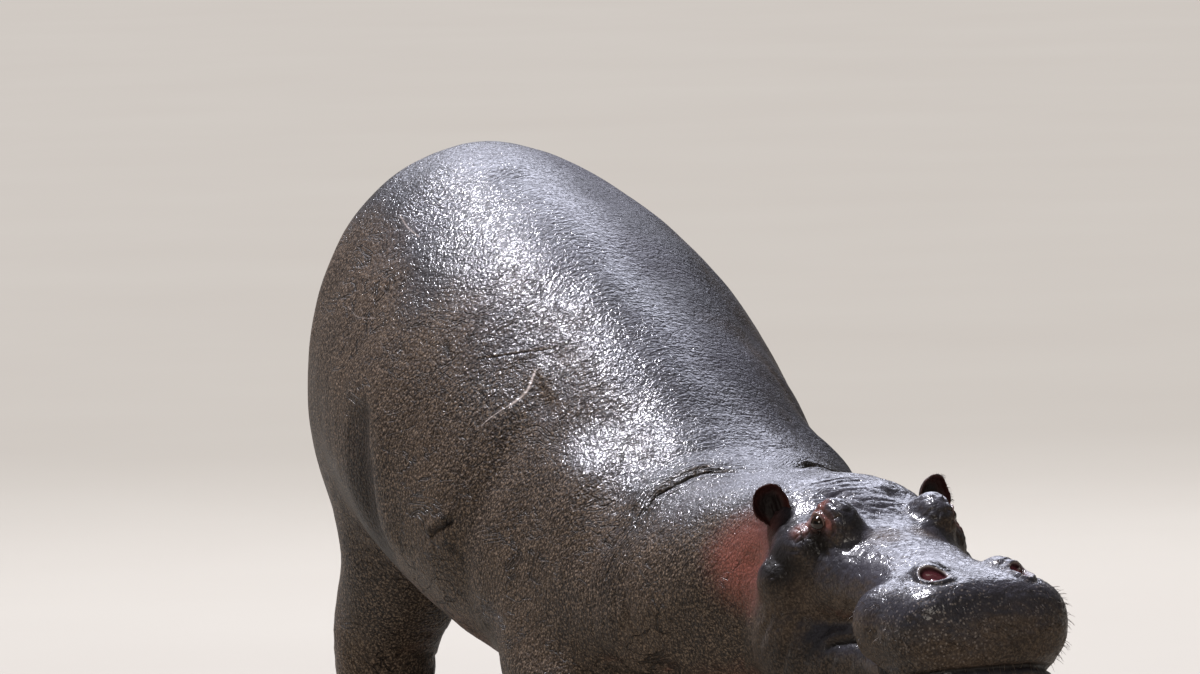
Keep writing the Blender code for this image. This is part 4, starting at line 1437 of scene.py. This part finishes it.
    def _wrinkles(self, points: np.ndarray) -> np.ndarray:
        """Fine relief: furrows of neck and head, rings of the shanks, the flank's fold and its wrinkles."""
        x, y, z = points.T
        head = ramp(x, 1.95, 2.10)
        neck = window(x, 1.35, 1.95, 0.15)
        height = -0.0022 * neck * furrows(points, (0.06, 0.05, 0.13), 0.16, 41)
        mound = np.zeros(len(points))
        for socket in self.sockets:
            mound = np.maximum(mound, bell(np.linalg.norm(points - socket.centre, axis=1), 0.080))
        mound = mound * (1 - self.marks["lid"])
        height += -(0.0014 + 0.0026 * mound) * head * furrows(points, (0.030, 0.030, 0.030), 0.14, 42)
        height += (0.0012 + 0.0022 * mound) * head * lattice_noise(points, (0.024, 0.018, 0.018), 43)
        shank = (1 - ramp(z, 0.30, 0.42)) * ramp(z, 0.07, 0.12) * (x < 1.75)
        bent = z + 0.018 * lattice_noise(points, 0.09, 44) + 0.25 * (np.abs(y) - 0.3) ** 2
        height += -self.shank_depth * shank * ridges(bent, self.shank_spacing)
        flank = (1 - ramp(x, 1.30, 1.50)) * window(z, 0.35, 1.15, 0.2)
        height += -0.0022 * flank * furrows(points, (0.16, 0.30, 0.42), 0.07, 45) * (np.abs(y) > 0.2)
        behind, level = self._flank_fold(points)
        height += -self.flank_fold_depth * level * ramp(behind, -0.012, 0.030) * (1 - ramp(behind, 0.05, 0.19))
        height += self.flank_fold_swell * level * bell(behind + 0.050, 0.045)
        toe_crease = (z < 0.13) * ramp(z, 0.02, 0.05)
        height += 0.0015 * toe_crease * lattice_noise(points, 0.022, 46)
        return height

    @staticmethod
    def _flank_fold(points: np.ndarray) -> tuple[np.ndarray, np.ndarray]:
        """How far each point lies behind the edge of the flank's fold, and how much of the fold there is.

        The edge leans forwards as it runs down: x = 0.47 m at z = 0.89 m, and 0.20 m further for each metre below.
        """
        x, y, z = points.T
        edge = 0.47 + 0.20 * (0.89 - z) + 0.010 * lattice_noise(points, 0.10, 48)
        return edge - x, window(z, 0.60, 0.88, 0.07) * ramp(np.abs(y), 0.30, 0.40)

    def _stand(self) -> None:
        """Presses the soles flat on the floor."""
        points = points_of(self.mesh)
        points[points[:, 2] < FLOOR_TOUCH, 2] = 0.0
        put_points(self.mesh, points)

    def _masks(self, points: np.ndarray) -> None:
        """Where the hide is slate from a painted sky reflection, flushed, in painted shade, speckled or scarred,
        one number for each point.
        """
        marks = self.marks
        x, y, z = points.T
        facing_up = normals_of(self.mesh)[:, 2]
        back, out, up = head_places(points)
        tone = lattice_noise(points, 0.22, 51) + 0.5 * lattice_noise(points, 0.09, 52)

        def patches(table: tuple) -> np.ndarray:
            """The strongest of some soft patches about places on the head."""
            strongest = np.zeros(len(points))
            for share, *place, size in table:
                away = away_from(points, place) + 0.25 * size * tone
                patch = 1 - ramp(away, 0.35 * size, 1.40 * size)
                strongest = np.maximum(strongest, share * patch)
            return strongest

        # Slate, a painted sky reflection that also marks the wet top, where the hide faces up: on the left less
        # sharply, and on the whole top of the head.
        left = ramp(y, 0.0, 0.25)
        rise = facing_up + (0.10 + 0.14 * left) * tone - 0.63 + 0.22 * left
        wet_top_sky_tint = ramp(rise / (1 + 1.2 * left), -0.17, 0.17) * ramp(z + 0.10 * tone, 0.42, 0.80)
        wet_top_sky_tint = np.maximum(wet_top_sky_tint, ramp(x, 1.9, 2.1) * ramp(facing_up + 0.2 * tone, -0.2, 0.5))
        # Painted shade: the hollow of the bridge loses its painted sky reflection and turns brown.
        wet_top_sky_tint = wet_top_sky_tint * (1 - patches(self.shaded_hollows))

        belly = (1 - ramp(facing_up, -0.9, -0.5)) * window(x, 0.0, 2.3, 0.2) * ramp(z, 0.10, 0.18)
        under_tail = (1 - ramp(x, -0.42, -0.34)) * bell(y, 0.09) * window(z, 0.7, 1.05, 0.1)
        flush = np.maximum.reduce([
            patches(self.flushed), 0.45 * marks["lid"], 0.95 * marks["brow"],
            0.40 * belly * ramp(tone, -0.4, 0.3), 0.22 * under_tail,
        ])
        # Patches of painted shade on the face, which also dull the wet film there.
        patch_shade = patches(self.shade_patches) * (1 - marks["brow"]) * ramp(tone, -0.9, 0.1)
        behind, level = self._flank_fold(points)
        level = np.minimum(level + 0.7 * window(z, 0.42, 0.62, 0.07) * (out > 0.30), 1)
        shade = level * ramp(behind, -0.010, 0.035) * (1 - ramp(behind - 0.45 * (0.90 - z), 0.03, 0.17))
        # All painted shade: folds and grooves, the patches on the face, and the shade behind the flank's fold and
        # on the upper hind leg.
        painted_shade = np.maximum.reduce([marks["painted_shade"], patch_shade, 0.60 * shade])

        far_side = ramp(y + 0.03 * tone, -0.02, 0.13) * (1 - ramp(x, 1.25, 1.50))
        wet = wet_top_sky_tint * (1 - 0.8 * patch_shade) * (1 - 0.92 * far_side)
        speckle = window(back, -0.1, 0.33, 0.06) * ramp(up, -0.20, -0.05) * (1 - marks["inner_nose"])
        speckle = speckle * ramp(tone, -0.45, 0.25) * (0.35 + 0.65 * bell(out - 0.12, 0.09))
        chin = window(back, -0.1, 0.30, 0.05) * (1 - ramp(up, -0.25, -0.18)) * 0.5
        masks = {
            "wet_top_sky_tint": wet_top_sky_tint,
            "flush": flush,
            "painted_shade": np.minimum(painted_shade, 0.94),
            "speckle": np.maximum(0.6 * np.maximum(speckle, chin), marks["nose_rim"]),
            "scar": np.maximum(marks["scar"], 0.22 * marks["lid_edge"] + 0.4 * marks["nose_edge"]),
            "smooth": np.maximum(0.85 * ramp(x + 0.04 * tone, 1.93, 2.10), 0.35 * flush),
            "mucosa": marks["inner_nose"],
            "wet": wet,
        }
        for name, values in masks.items():
            put_attribute(self.mesh, name, np.clip(values, 0, 1))
        put_attribute(self.mesh, "pleat_place", self.pleat_place)
        put_attribute(self.mesh, "pleated", self.pleated)


@dataclass
class Eye:
    """An eyeball with a raised cornea."""

    socket: EyeSocket
    slit: tuple = (0.0075, 0.0036)  # half length and half width of the pupil
    iris: float = 0.0150

    def build(self) -> bpy.types.Object:
        """A ball about the gaze: at angle v from it the radius is R less 0.6 mm, plus the cornea within 32 degrees.

        The cornea's height is 1.6 mm times (1 - (v / 32 degrees)^2) to the power 1.2.
        """
        v = np.linspace(0, np.pi, 42)[1:-1][:, None]
        u = full_turn(48)[None, :]
        cornea = 0.0016 * np.clip(1 - (v / math.radians(32)) ** 2, 0, 1) ** 1.2
        radius = self.socket.radius - 0.0006 + cornea
        s = self.socket
        rings = s.centre + radius[..., None] * (
            np.cos(v)[..., None] * s.axis
            + (np.sin(v) * np.cos(u))[..., None] * s.forwards
            + (np.sin(v) * np.sin(u))[..., None] * s.upwards
        )
        if s.side is Side.LEFT:
            rings = rings[:, ::-1]
        name = f"eyeball_{s.side.label}"
        obj = new_object(name, write_mesh(name, closed_grid(rings)))
        make_outward(obj)
        _, forwards, upwards, gaze = s.local(points_of(obj.data))
        front = gaze > 0
        along, across = self.slit
        slit = np.sqrt((forwards / along) ** 2 + (upwards / across) ** 2)
        put_attribute(obj.data, "slit", np.where(front, slit, 9))
        put_attribute(obj.data, "iris", np.where(front, np.hypot(forwards, upwards) / self.iris, 9))
        return obj


def make_outward(obj: bpy.types.Object) -> None:
    """Turns every face of a closed shell outwards."""
    bm = bmesh.new()
    bm.from_mesh(obj.data)
    bmesh.ops.recalc_face_normals(bm, faces=bm.faces)
    bm.to_mesh(obj.data)
    bm.free()


@dataclass
class Ear:
    """A rounded cup on a short stem, open forwards and outwards."""

    side: Side
    centre_from_nose: tuple = (0.775, 0.208, 0.186)
    half_across: float = 0.0445
    half_along: float = 0.050
    depth: float = 0.036
    wall: float = 0.0045
    ridge: float = 0.009  # height of the ridges inside
    voxel: float = 0.0019
    opens: tuple = (1.0, 0.30, 0.05)  # ahead, out, up
    stands: tuple = (-0.1, 0.32, 1.0)
    # Stem from inside the head: ahead, out and up from the cup's centre, and radius.
    stem: tuple = (
        (-0.016, -0.090, -0.120, 0.038),
        (-0.018, -0.046, -0.074, 0.031),
        (-0.020, -0.018, -0.046, 0.023),
        (-0.024, -0.004, -0.024, 0.015),
        (-0.026, 0.002, -0.010, 0.007),
    )

    def __post_init__(self) -> None:
        """Works out the centre and the axes."""
        self.centre = on_head(self.side, self.centre_from_nose)
        self.facing = unit(on_side(self.side, self.opens))
        self.along = square_to(on_side(self.side, self.stands), self.facing)
        self.across = np.cross(self.along, self.facing) * self.side.value

    @staticmethod
    def _outline(u: np.ndarray) -> tuple[np.ndarray, np.ndarray, np.ndarray]:
        """How wide, how tall and how far off the middle the rim is at each angle, as shares of the half sizes."""
        low = np.clip(-np.sin(u), 0, 1) ** 2
        wave = 1 + 0.022 * np.cos(3 * u + 0.5) + 0.016 * np.cos(5 * u + 1.3)
        return (1 - 0.38 * low) * wave, (1 + 0.45 * low) * wave, -0.10 * low

    def _cup(self) -> Surface:
        """The cup as one closed sheet: rings from the back's pole to the rim and back down inside.

        Going out, a ring at share s of the rim has radius sin(s 90 deg) and stands depth cos(s 90 deg) behind the
        rim; coming back, it is a wall's width smaller. The rim's outline is a drop: below the middle it narrows by
        38 % and is drawn out by 45 % towards the head. Two ridges of 9 and 5 mm stand inside.
        """
        u = full_turn(64)[None, :]
        s = np.linspace(0.04, 1.0, 26)[:, None] * np.pi / 2
        low = np.clip(-np.sin(u), 0, 1) ** 2
        wide, tall, lean = self._outline(u)

        def shell(across: float, along: float, depth: float, ridge: float) -> np.ndarray:
            """One side of the cup."""
            reach = np.sin(s)
            a, b = reach * np.cos(u), reach * np.sin(u)
            ridges = bell(a + 0.45, 0.14) * window(b, -0.95, 0.30, 0.25)
            ridges = ridges + 0.6 * bell(a + 0.02, 0.10) * window(b, -0.95, -0.10, 0.25)
            rise = depth * np.cos(s) - ridge * ridges
            rim = 0.006 * np.sin(s) ** 6 * np.cos(3 * u + 0.6) - 0.010 * low * np.sin(s) ** 2
            return (
                self.centre
                + (across * reach * (wide * np.cos(u) + lean))[..., None] * self.across
                + (along * reach * tall * np.sin(u))[..., None] * self.along
                + (0.010 - rise + rim)[..., None] * self.facing
            )

        outer = shell(self.half_across, self.half_along, self.depth, 0.0)
        sizes = (self.half_across - self.wall, self.half_along - self.wall, self.depth - 1.2 * self.wall)
        inner = shell(*sizes, self.ridge)
        return closed_grid(np.concatenate([outer, inner[::-1]]))

    def _stem(self) -> Surface:
        """A tapering stem from inside the head to the back of the cup, oval in section."""
        rows = [(*(self.centre + on_side(self.side, place)), radius) for *place, radius in self.stem]
        rows = catmull_rom(rows, 6)
        centre = rows[:, :3]
        tangent = unit(np.gradient(centre, axis=0))
        a = unit(np.cross(tangent, self.facing))
        b = np.cross(tangent, a)
        u = full_turn(32)[None, :, None]
        radius = rows[:, 3][:, None, None]
        return closed_grid(centre[:, None] + radius * (np.cos(u) * a[:, None] + 0.8 * np.sin(u) * b[:, None]))

    def build(self) -> bpy.types.Object:
        """Fuses cup and stem, softens them and stores where the cup, its edge and the painted shade deep inside it
        are.
        """
        parts = joined([self._cup(), self._stem()])
        obj = new_object(f"ear_skin_{self.side.label}", write_mesh("ear", parts))
        make_outward(obj)
        fuse(obj, self.voxel)
        points = relaxed(points_of(obj.data), edges_of(obj.data), 1.0, 5)
        put_points(obj.data, points)
        away = points - self.centre
        across, along, out = away @ self.across, away @ self.along, away @ self.facing
        wide, tall, lean = self._outline(np.arctan2(along / self.half_along, across / self.half_across))
        q = np.hypot((across / self.half_across - lean) / wide, along / self.half_along / tall)
        facing = normals_of(obj.data) @ self.facing
        cup = ramp(facing, -0.1, 0.4) * (q < 1.0) * (out > -self.depth)
        put_attribute(obj.data, "cup", cup)
        # Painted shade deep in the cup.
        put_attribute(obj.data, "cup_shade", cup * (1 - ramp(q + 0.15 * along / self.half_along, 0.45, 0.85)))
        put_attribute(obj.data, "edge", window(q, 0.86, 1.2, 0.05) * ramp(out, -0.004, 0.006))
        pushed(obj.data, points, -0.0011 * furrows(points, (0.012, 0.012, 0.022), 0.18, 61))
        return obj

    def rim_roots(self, count: int, rng: np.random.Generator) -> tuple[np.ndarray, np.ndarray]:
        """Places on the rim with directions out of it, for bristles."""
        u = rng.uniform(-0.25 * np.pi, 1.25 * np.pi, count)
        wide, tall, lean = self._outline(u)
        low = np.clip(-np.sin(u), 0, 1) ** 2
        radial = (self.half_across * (wide * np.cos(u) + lean))[:, None] * self.across
        radial = radial + (self.half_along * tall * np.sin(u))[:, None] * self.along
        ahead = 0.008 + 0.006 * np.cos(3 * u + 0.6) - 0.010 * low
        roots = self.centre + radial * 0.955 + self.facing * ahead[:, None]
        return roots, unit(unit(radial) + 0.5 * self.facing + 0.25 * rng.normal(size=(count, 3)))


@dataclass
class Nails:
    """The four nails of one foot."""

    form: BodyForm
    foot_name: str
    foot: tuple
    side: Side
    radii: tuple = (0.0250, 0.0345, 0.0300)  # ahead, across, up
    ahead: float = 0.048
    up: float = 0.034
    slope: float = 0.30
    ring: float = 0.005  # from growth ring to growth ring
    ring_height: float = 0.0004

    def build(self) -> bpy.types.Object:
        """Each nail is a squared egg, flattened below and pressed back on top, with faint growth rings.

        Its point at latitude v and longitude u is sign(c)|c|^0.8 of the usual ball's, times the radii; its front
        slopes back by 0.30 of the height, and rings rise by 0.4 mm every 5 mm.
        """
        points, faces = unit_ball(28, 0.8)
        grown = points * np.asarray(self.radii)
        grown[:, 0] -= self.slope * (grown[:, 2] + self.radii[2]) * (points[:, 0] > -0.2)
        rings = self.ring_height * np.cos(2 * np.pi * grown[:, 2] / self.ring) * (points[:, 0] > 0)
        grown[:, 0] += rings + 0.004
        surfaces = []
        for x, y, a in self.form.toe_places(self.foot, self.side):
            axes = turned(a)
            centre = np.array([x, y, self.up]) + axes[0] * self.ahead
            surfaces.append((grown @ axes + centre, faces))
        name = f"nails_{self.foot_name}_{self.side.label}"
        obj = new_object(name, write_mesh(name, joined(surfaces)))
        make_outward(obj)
        z = points_of(obj.data)[:, 2]
        put_attribute(obj.data, "wear", 0.8 * (1 - ramp(z, 0.006, 0.026)))
        return obj


@dataclass
class Bristles:
    """Tapering bristles as solid mesh, each bent towards the floor."""

    name: str
    roots: np.ndarray
    directions: np.ndarray
    lengths: np.ndarray
    thickness: float = 0.0011

    def build(self) -> bpy.types.Object:
        """Carries a square section along each bristle.

        At share t of its length a bristle is at root + direction L t - 0.25 L t^2 down, and its half thickness is
        r(1 - 0.6 t).
        """
        count = len(self.roots)
        t = np.array([0.0, 0.35, 0.7, 1.0])
        length = self.lengths[:, None, None]
        down = np.array([0.0, 0.0, -0.25])
        centre = (
            self.roots[:, None]
            + self.directions[:, None] * length * t[None, :, None]
            + down * length * (t**2)[None, :, None]
        )
        helper = np.where(np.abs(self.directions[:, 2:3]) < 0.9, (0.0, 0.0, 1.0), (1.0, 0.0, 0.0))
        a = unit(np.cross(self.directions, helper))
        b = np.cross(self.directions, a)
        angle = np.pi / 2 * np.arange(4)
        ring = np.cos(angle)[None, :, None] * a[:, None] + np.sin(angle)[None, :, None] * b[:, None]
        radius = self.thickness / 2 * (1 - 0.6 * t)
        points = centre[:, :, None] + ring[:, None] * radius[None, :, None, None]
        index = np.arange(count * 16).reshape(count, 4, 4)
        following = np.roll(index, -1, axis=2)
        quads = np.stack([index[:, :-1], following[:, :-1], following[:, 1:], index[:, 1:]], -1).reshape(-1, 4)
        caps = np.concatenate([index[:, 0, ::-1], index[:, 3]])
        obj = new_object(self.name, write_mesh(self.name, (points.reshape(-1, 3), [quads, caps])))
        make_outward(obj)
        put_attribute(obj.data, "along", np.tile(np.repeat(t, 4), count))
        return obj


def bristle_sets(hide: bpy.types.Object, ears: Sequence[Ear]) -> list[Bristles]:
    """The bristles of muzzle, ears and tail, rooted in the finished surfaces.

    Args:
        hide: the sculpted hide, before it is moved into the frame.
        ears: both ears.

    Returns:
        One set for each region.
    """
    rng = np.random.default_rng(7)
    points, normals = points_of(hide.data), normals_of(hide.data)
    x, _, z = points.T
    back, _, up = head_places(points)

    def rooted(region: str, at: np.ndarray, lean: np.ndarray, span: tuple[float, float], thick: float) -> Bristles:
        """Bristles that start 1 mm under chosen points of the hide, with lengths drawn from a span."""
        lengths = rng.uniform(*span, len(at))
        return Bristles(f"bristles_{region}", points[at] - normals[at] * 0.001, lean, lengths, thick)

    lip = (back < 0.30) & (up > -0.16) & (up < 0.03) & (normals[:, 2] < 0.75) & (back > 0.002)
    chin = (back < 0.32) & (up < -0.20) & (up > -0.30) & (back > 0.01)
    chosen = np.concatenate([
        rng.choice(np.nonzero(lip)[0], BRISTLES["lip"], replace=False),
        rng.choice(np.nonzero(chin)[0], BRISTLES["chin"], replace=False),
    ])
    lean = unit(normals[chosen] + 0.35 * rng.normal(size=(len(chosen), 3)) + (0.1, 0, -0.35))
    sets = [rooted("muzzle", chosen, lean, (0.010, 0.022), 0.0012)]
    tip = np.nonzero((x < -0.53) & (z < 0.90) & (z > 0.745))[0]
    chosen = rng.choice(tip, min(BRISTLES["tail"], len(tip)), replace=False)
    lean = unit(normals[chosen] * (1.0, 0.4, 1.0) + 0.25 * rng.normal(size=(len(chosen), 3)) + (0, 0, -1.3))
    sets.append(rooted("tail", chosen, lean, (0.018, 0.040), 0.0014))
    for ear in ears:
        roots, out = ear.rim_roots(BRISTLES["ear"], rng)
        lengths = rng.uniform(0.005, 0.010, len(roots))
        sets.append(Bristles(f"bristles_ear_{ear.side.label}", roots, out, lengths, 0.0008))
    return sets


# --------------------------------------------------------------------------------------------------------------
# Studio


@dataclass(frozen=True)
class SoftBox:
    """A large soft lamp that looks at a point."""

    name: str
    place: tuple
    aim: tuple
    size: tuple
    watts: float
    tint: str = "#FFFFFF"

    def build(self) -> None:
        """Hangs the lamp."""
        light = bpy.data.lights.new(self.name, "AREA")
        light.shape = "RECTANGLE"
        light.size, light.size_y = self.size
        light.energy = self.watts
        light.color = srgb(self.tint)[:3]
        lamp = new_object(self.name, light)
        lamp.location = self.place
        lamp.rotation_euler = (Vector(self.aim) - Vector(self.place)).to_track_quat("-Z", "Y").to_euler()
        lamp.visible_camera = False


@dataclass
class Studio:
    """Pale floor, soft light and the camera."""

    shift: float
    floor_half: float = 90.0
    # The camera's view axis backwards, its rightward axis before squaring, and its place, laid out from the rump.
    backwards: tuple = (0.91304884, -0.40219178, 0.06770217)
    place: tuple = (29.33077, -12.63030, 3.19467)
    azimuth: float = 65.0
    elevation: float = 5.0
    roll: float = 1.2
    lens: float = 390.6
    sensor: float = 36.0
    ambient: float = 0.17  # strength of the surroundings as light
    backdrop: float = 0.92  # and as the backdrop seen behind the floor
    sun_from: tuple = (-0.44, -0.20, 0.87)  # direction of the broad soft lamp high above and behind
    sun_power: float = 6.0
    sun_angle: float = 9.0  # degrees across
    sun_tint: str = "#F7F5FF"
    surroundings: str = "#E4DDD0"
    softboxes: tuple = (
        SoftBox("high_rear", (-6.2, 2.9, 6.2), (0.6, 0.0, 0.8), (6.0, 5.5), 450, "#E9ECFF"),
        SoftBox("front", (9.0, -5.0, 6.5), (0.6, 0.0, 0.6), (4.0, 4.0), 260, "#FFF4E8"),
    )

    def build(self) -> None:
        """Lays the floor, hangs the lamps, lights the surroundings and sets the camera."""
        self._floor()
        for softbox in self.softboxes:
            softbox.build()
        self._high_lamp()
        self._surroundings()
        bpy.context.scene.view_settings.view_transform = "Standard"
        self._camera()

    def _floor(self) -> None:
        """Lays a square floor of eight by eight quads at z = 0."""
        line = np.linspace(-self.floor_half, self.floor_half, 9)
        grid = np.stack(np.meshgrid(line, line, indexing="ij"), -1).reshape(-1, 2)
        points = np.column_stack([grid, np.zeros(len(grid))])
        index = np.arange(len(grid)).reshape(9, 9)
        quads = np.stack([index[:-1, :-1], index[1:, :-1], index[1:, 1:], index[:-1, 1:]], -1).reshape(-1, 4)
        floor = new_object("studio_floor", write_mesh("studio_floor", (points, [quads])))
        floor.data.materials.append(StudioFloor().build())

    def _high_lamp(self) -> None:
        """Hangs the broad soft lamp far above."""
        sun = bpy.data.lights.new("high_lamp", "SUN")
        sun.energy = self.sun_power
        sun.angle = math.radians(self.sun_angle)
        sun.color = srgb(self.sun_tint)[:3]
        high = new_object("high_lamp", sun)
        high.rotation_euler = Vector(self.sun_from).to_track_quat("Z", "Y").to_euler()

    def _surroundings(self) -> None:
        """Lights from all around: dim as light, bright as the backdrop that the camera sees."""
        world = bpy.data.worlds.new("studio")
        world.use_nodes = True
        tree = world.node_tree
        seen = add(tree, "LightPath").outputs["Is Camera Ray"]
        strength = add(tree, "MapRange", {"Value": seen, "To Min": self.ambient, "To Max": self.backdrop})
        lit = {"Color": srgb(self.surroundings), "Strength": strength.outputs["Result"]}
        fill(tree, tree.nodes["Background"], lit)
        bpy.context.scene.world = world

    def _camera(self) -> None:
        """Sets the camera on a long lens, turned by its azimuth, elevation and a small roll."""
        az, el, roll = (math.radians(a) for a in (self.azimuth, self.elevation, self.roll))
        seen = np.array([math.sin(az) * math.cos(el), -math.cos(az) * math.cos(el), math.sin(el)])
        right = unit(np.cross((0, 0, 1), seen))
        right = math.cos(roll) * right - math.sin(roll) * np.cross(seen, right)
        back = unit(np.array(self.backwards))
        right = unit(right - back * (right @ back))
        up = np.cross(back, right)
        matrix = Matrix.Identity(4)
        for k, axis in enumerate((right, up, back)):
            for row in range(3):
                matrix[row][k] = axis[row]
        x, y, z = self.place
        matrix.translation = Vector((x + self.shift, y, z))
        data = bpy.data.cameras.new("camera")
        data.sensor_width = self.sensor
        data.lens = self.lens
        data.clip_end = 400
        data.dof.use_dof = False
        camera = new_object("camera", data)
        camera.matrix_world = matrix
        bpy.context.scene.camera = camera


def corners(bounds: object) -> list[list[float]]:
    """A box's two corners as plain lists."""
    return [[float(value) for value in corner] for corner in bounds]


def main() -> None:
    """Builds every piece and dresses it."""
    logging.basicConfig(level=logging.INFO, format="%(message)s")
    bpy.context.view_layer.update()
    place = Place()
    form = BodyForm()
    sockets = [EyeSocket(side) for side in Side]
    nostrils = [Nostril(side) for side in Side]
    ears = [Ear(side) for side in Side]

    hide = Hide(form, sockets, nostrils).build()
    bristle_material = Bristle().build()
    for bristles in bristle_sets(hide, ears):
        place.finish(bristles.build(), bristle_material)
    legs = [f"leg_{end}_{side.label}" for end in ("front", "hind") for side in Side]
    place.finish(hide, WetHide().build(), ["head", "neck", "trunk", "tail", *legs])
    eye_material = WetEyeball().build()
    for socket in sockets:
        place.finish(Eye(socket).build(), eye_material, [f"eye_{socket.side.label}"])
    ear_material = DampEarSkin().build()
    for ear in ears:
        place.finish(ear.build(), ear_material, [f"ear_{ear.side.label}"])
    horn = WornHorn().build()
    for end, foot in zip(("hind", "front"), form.feet):
        for side in Side:
            nodes = [f"hoof_{end}_{side.label}_{k}" for k in range(1, 5)]
            place.finish(Nails(form, end, foot, side).build(), horn, nodes)
    Studio(place.shift).build()


if __name__ == "__main__":
    main()
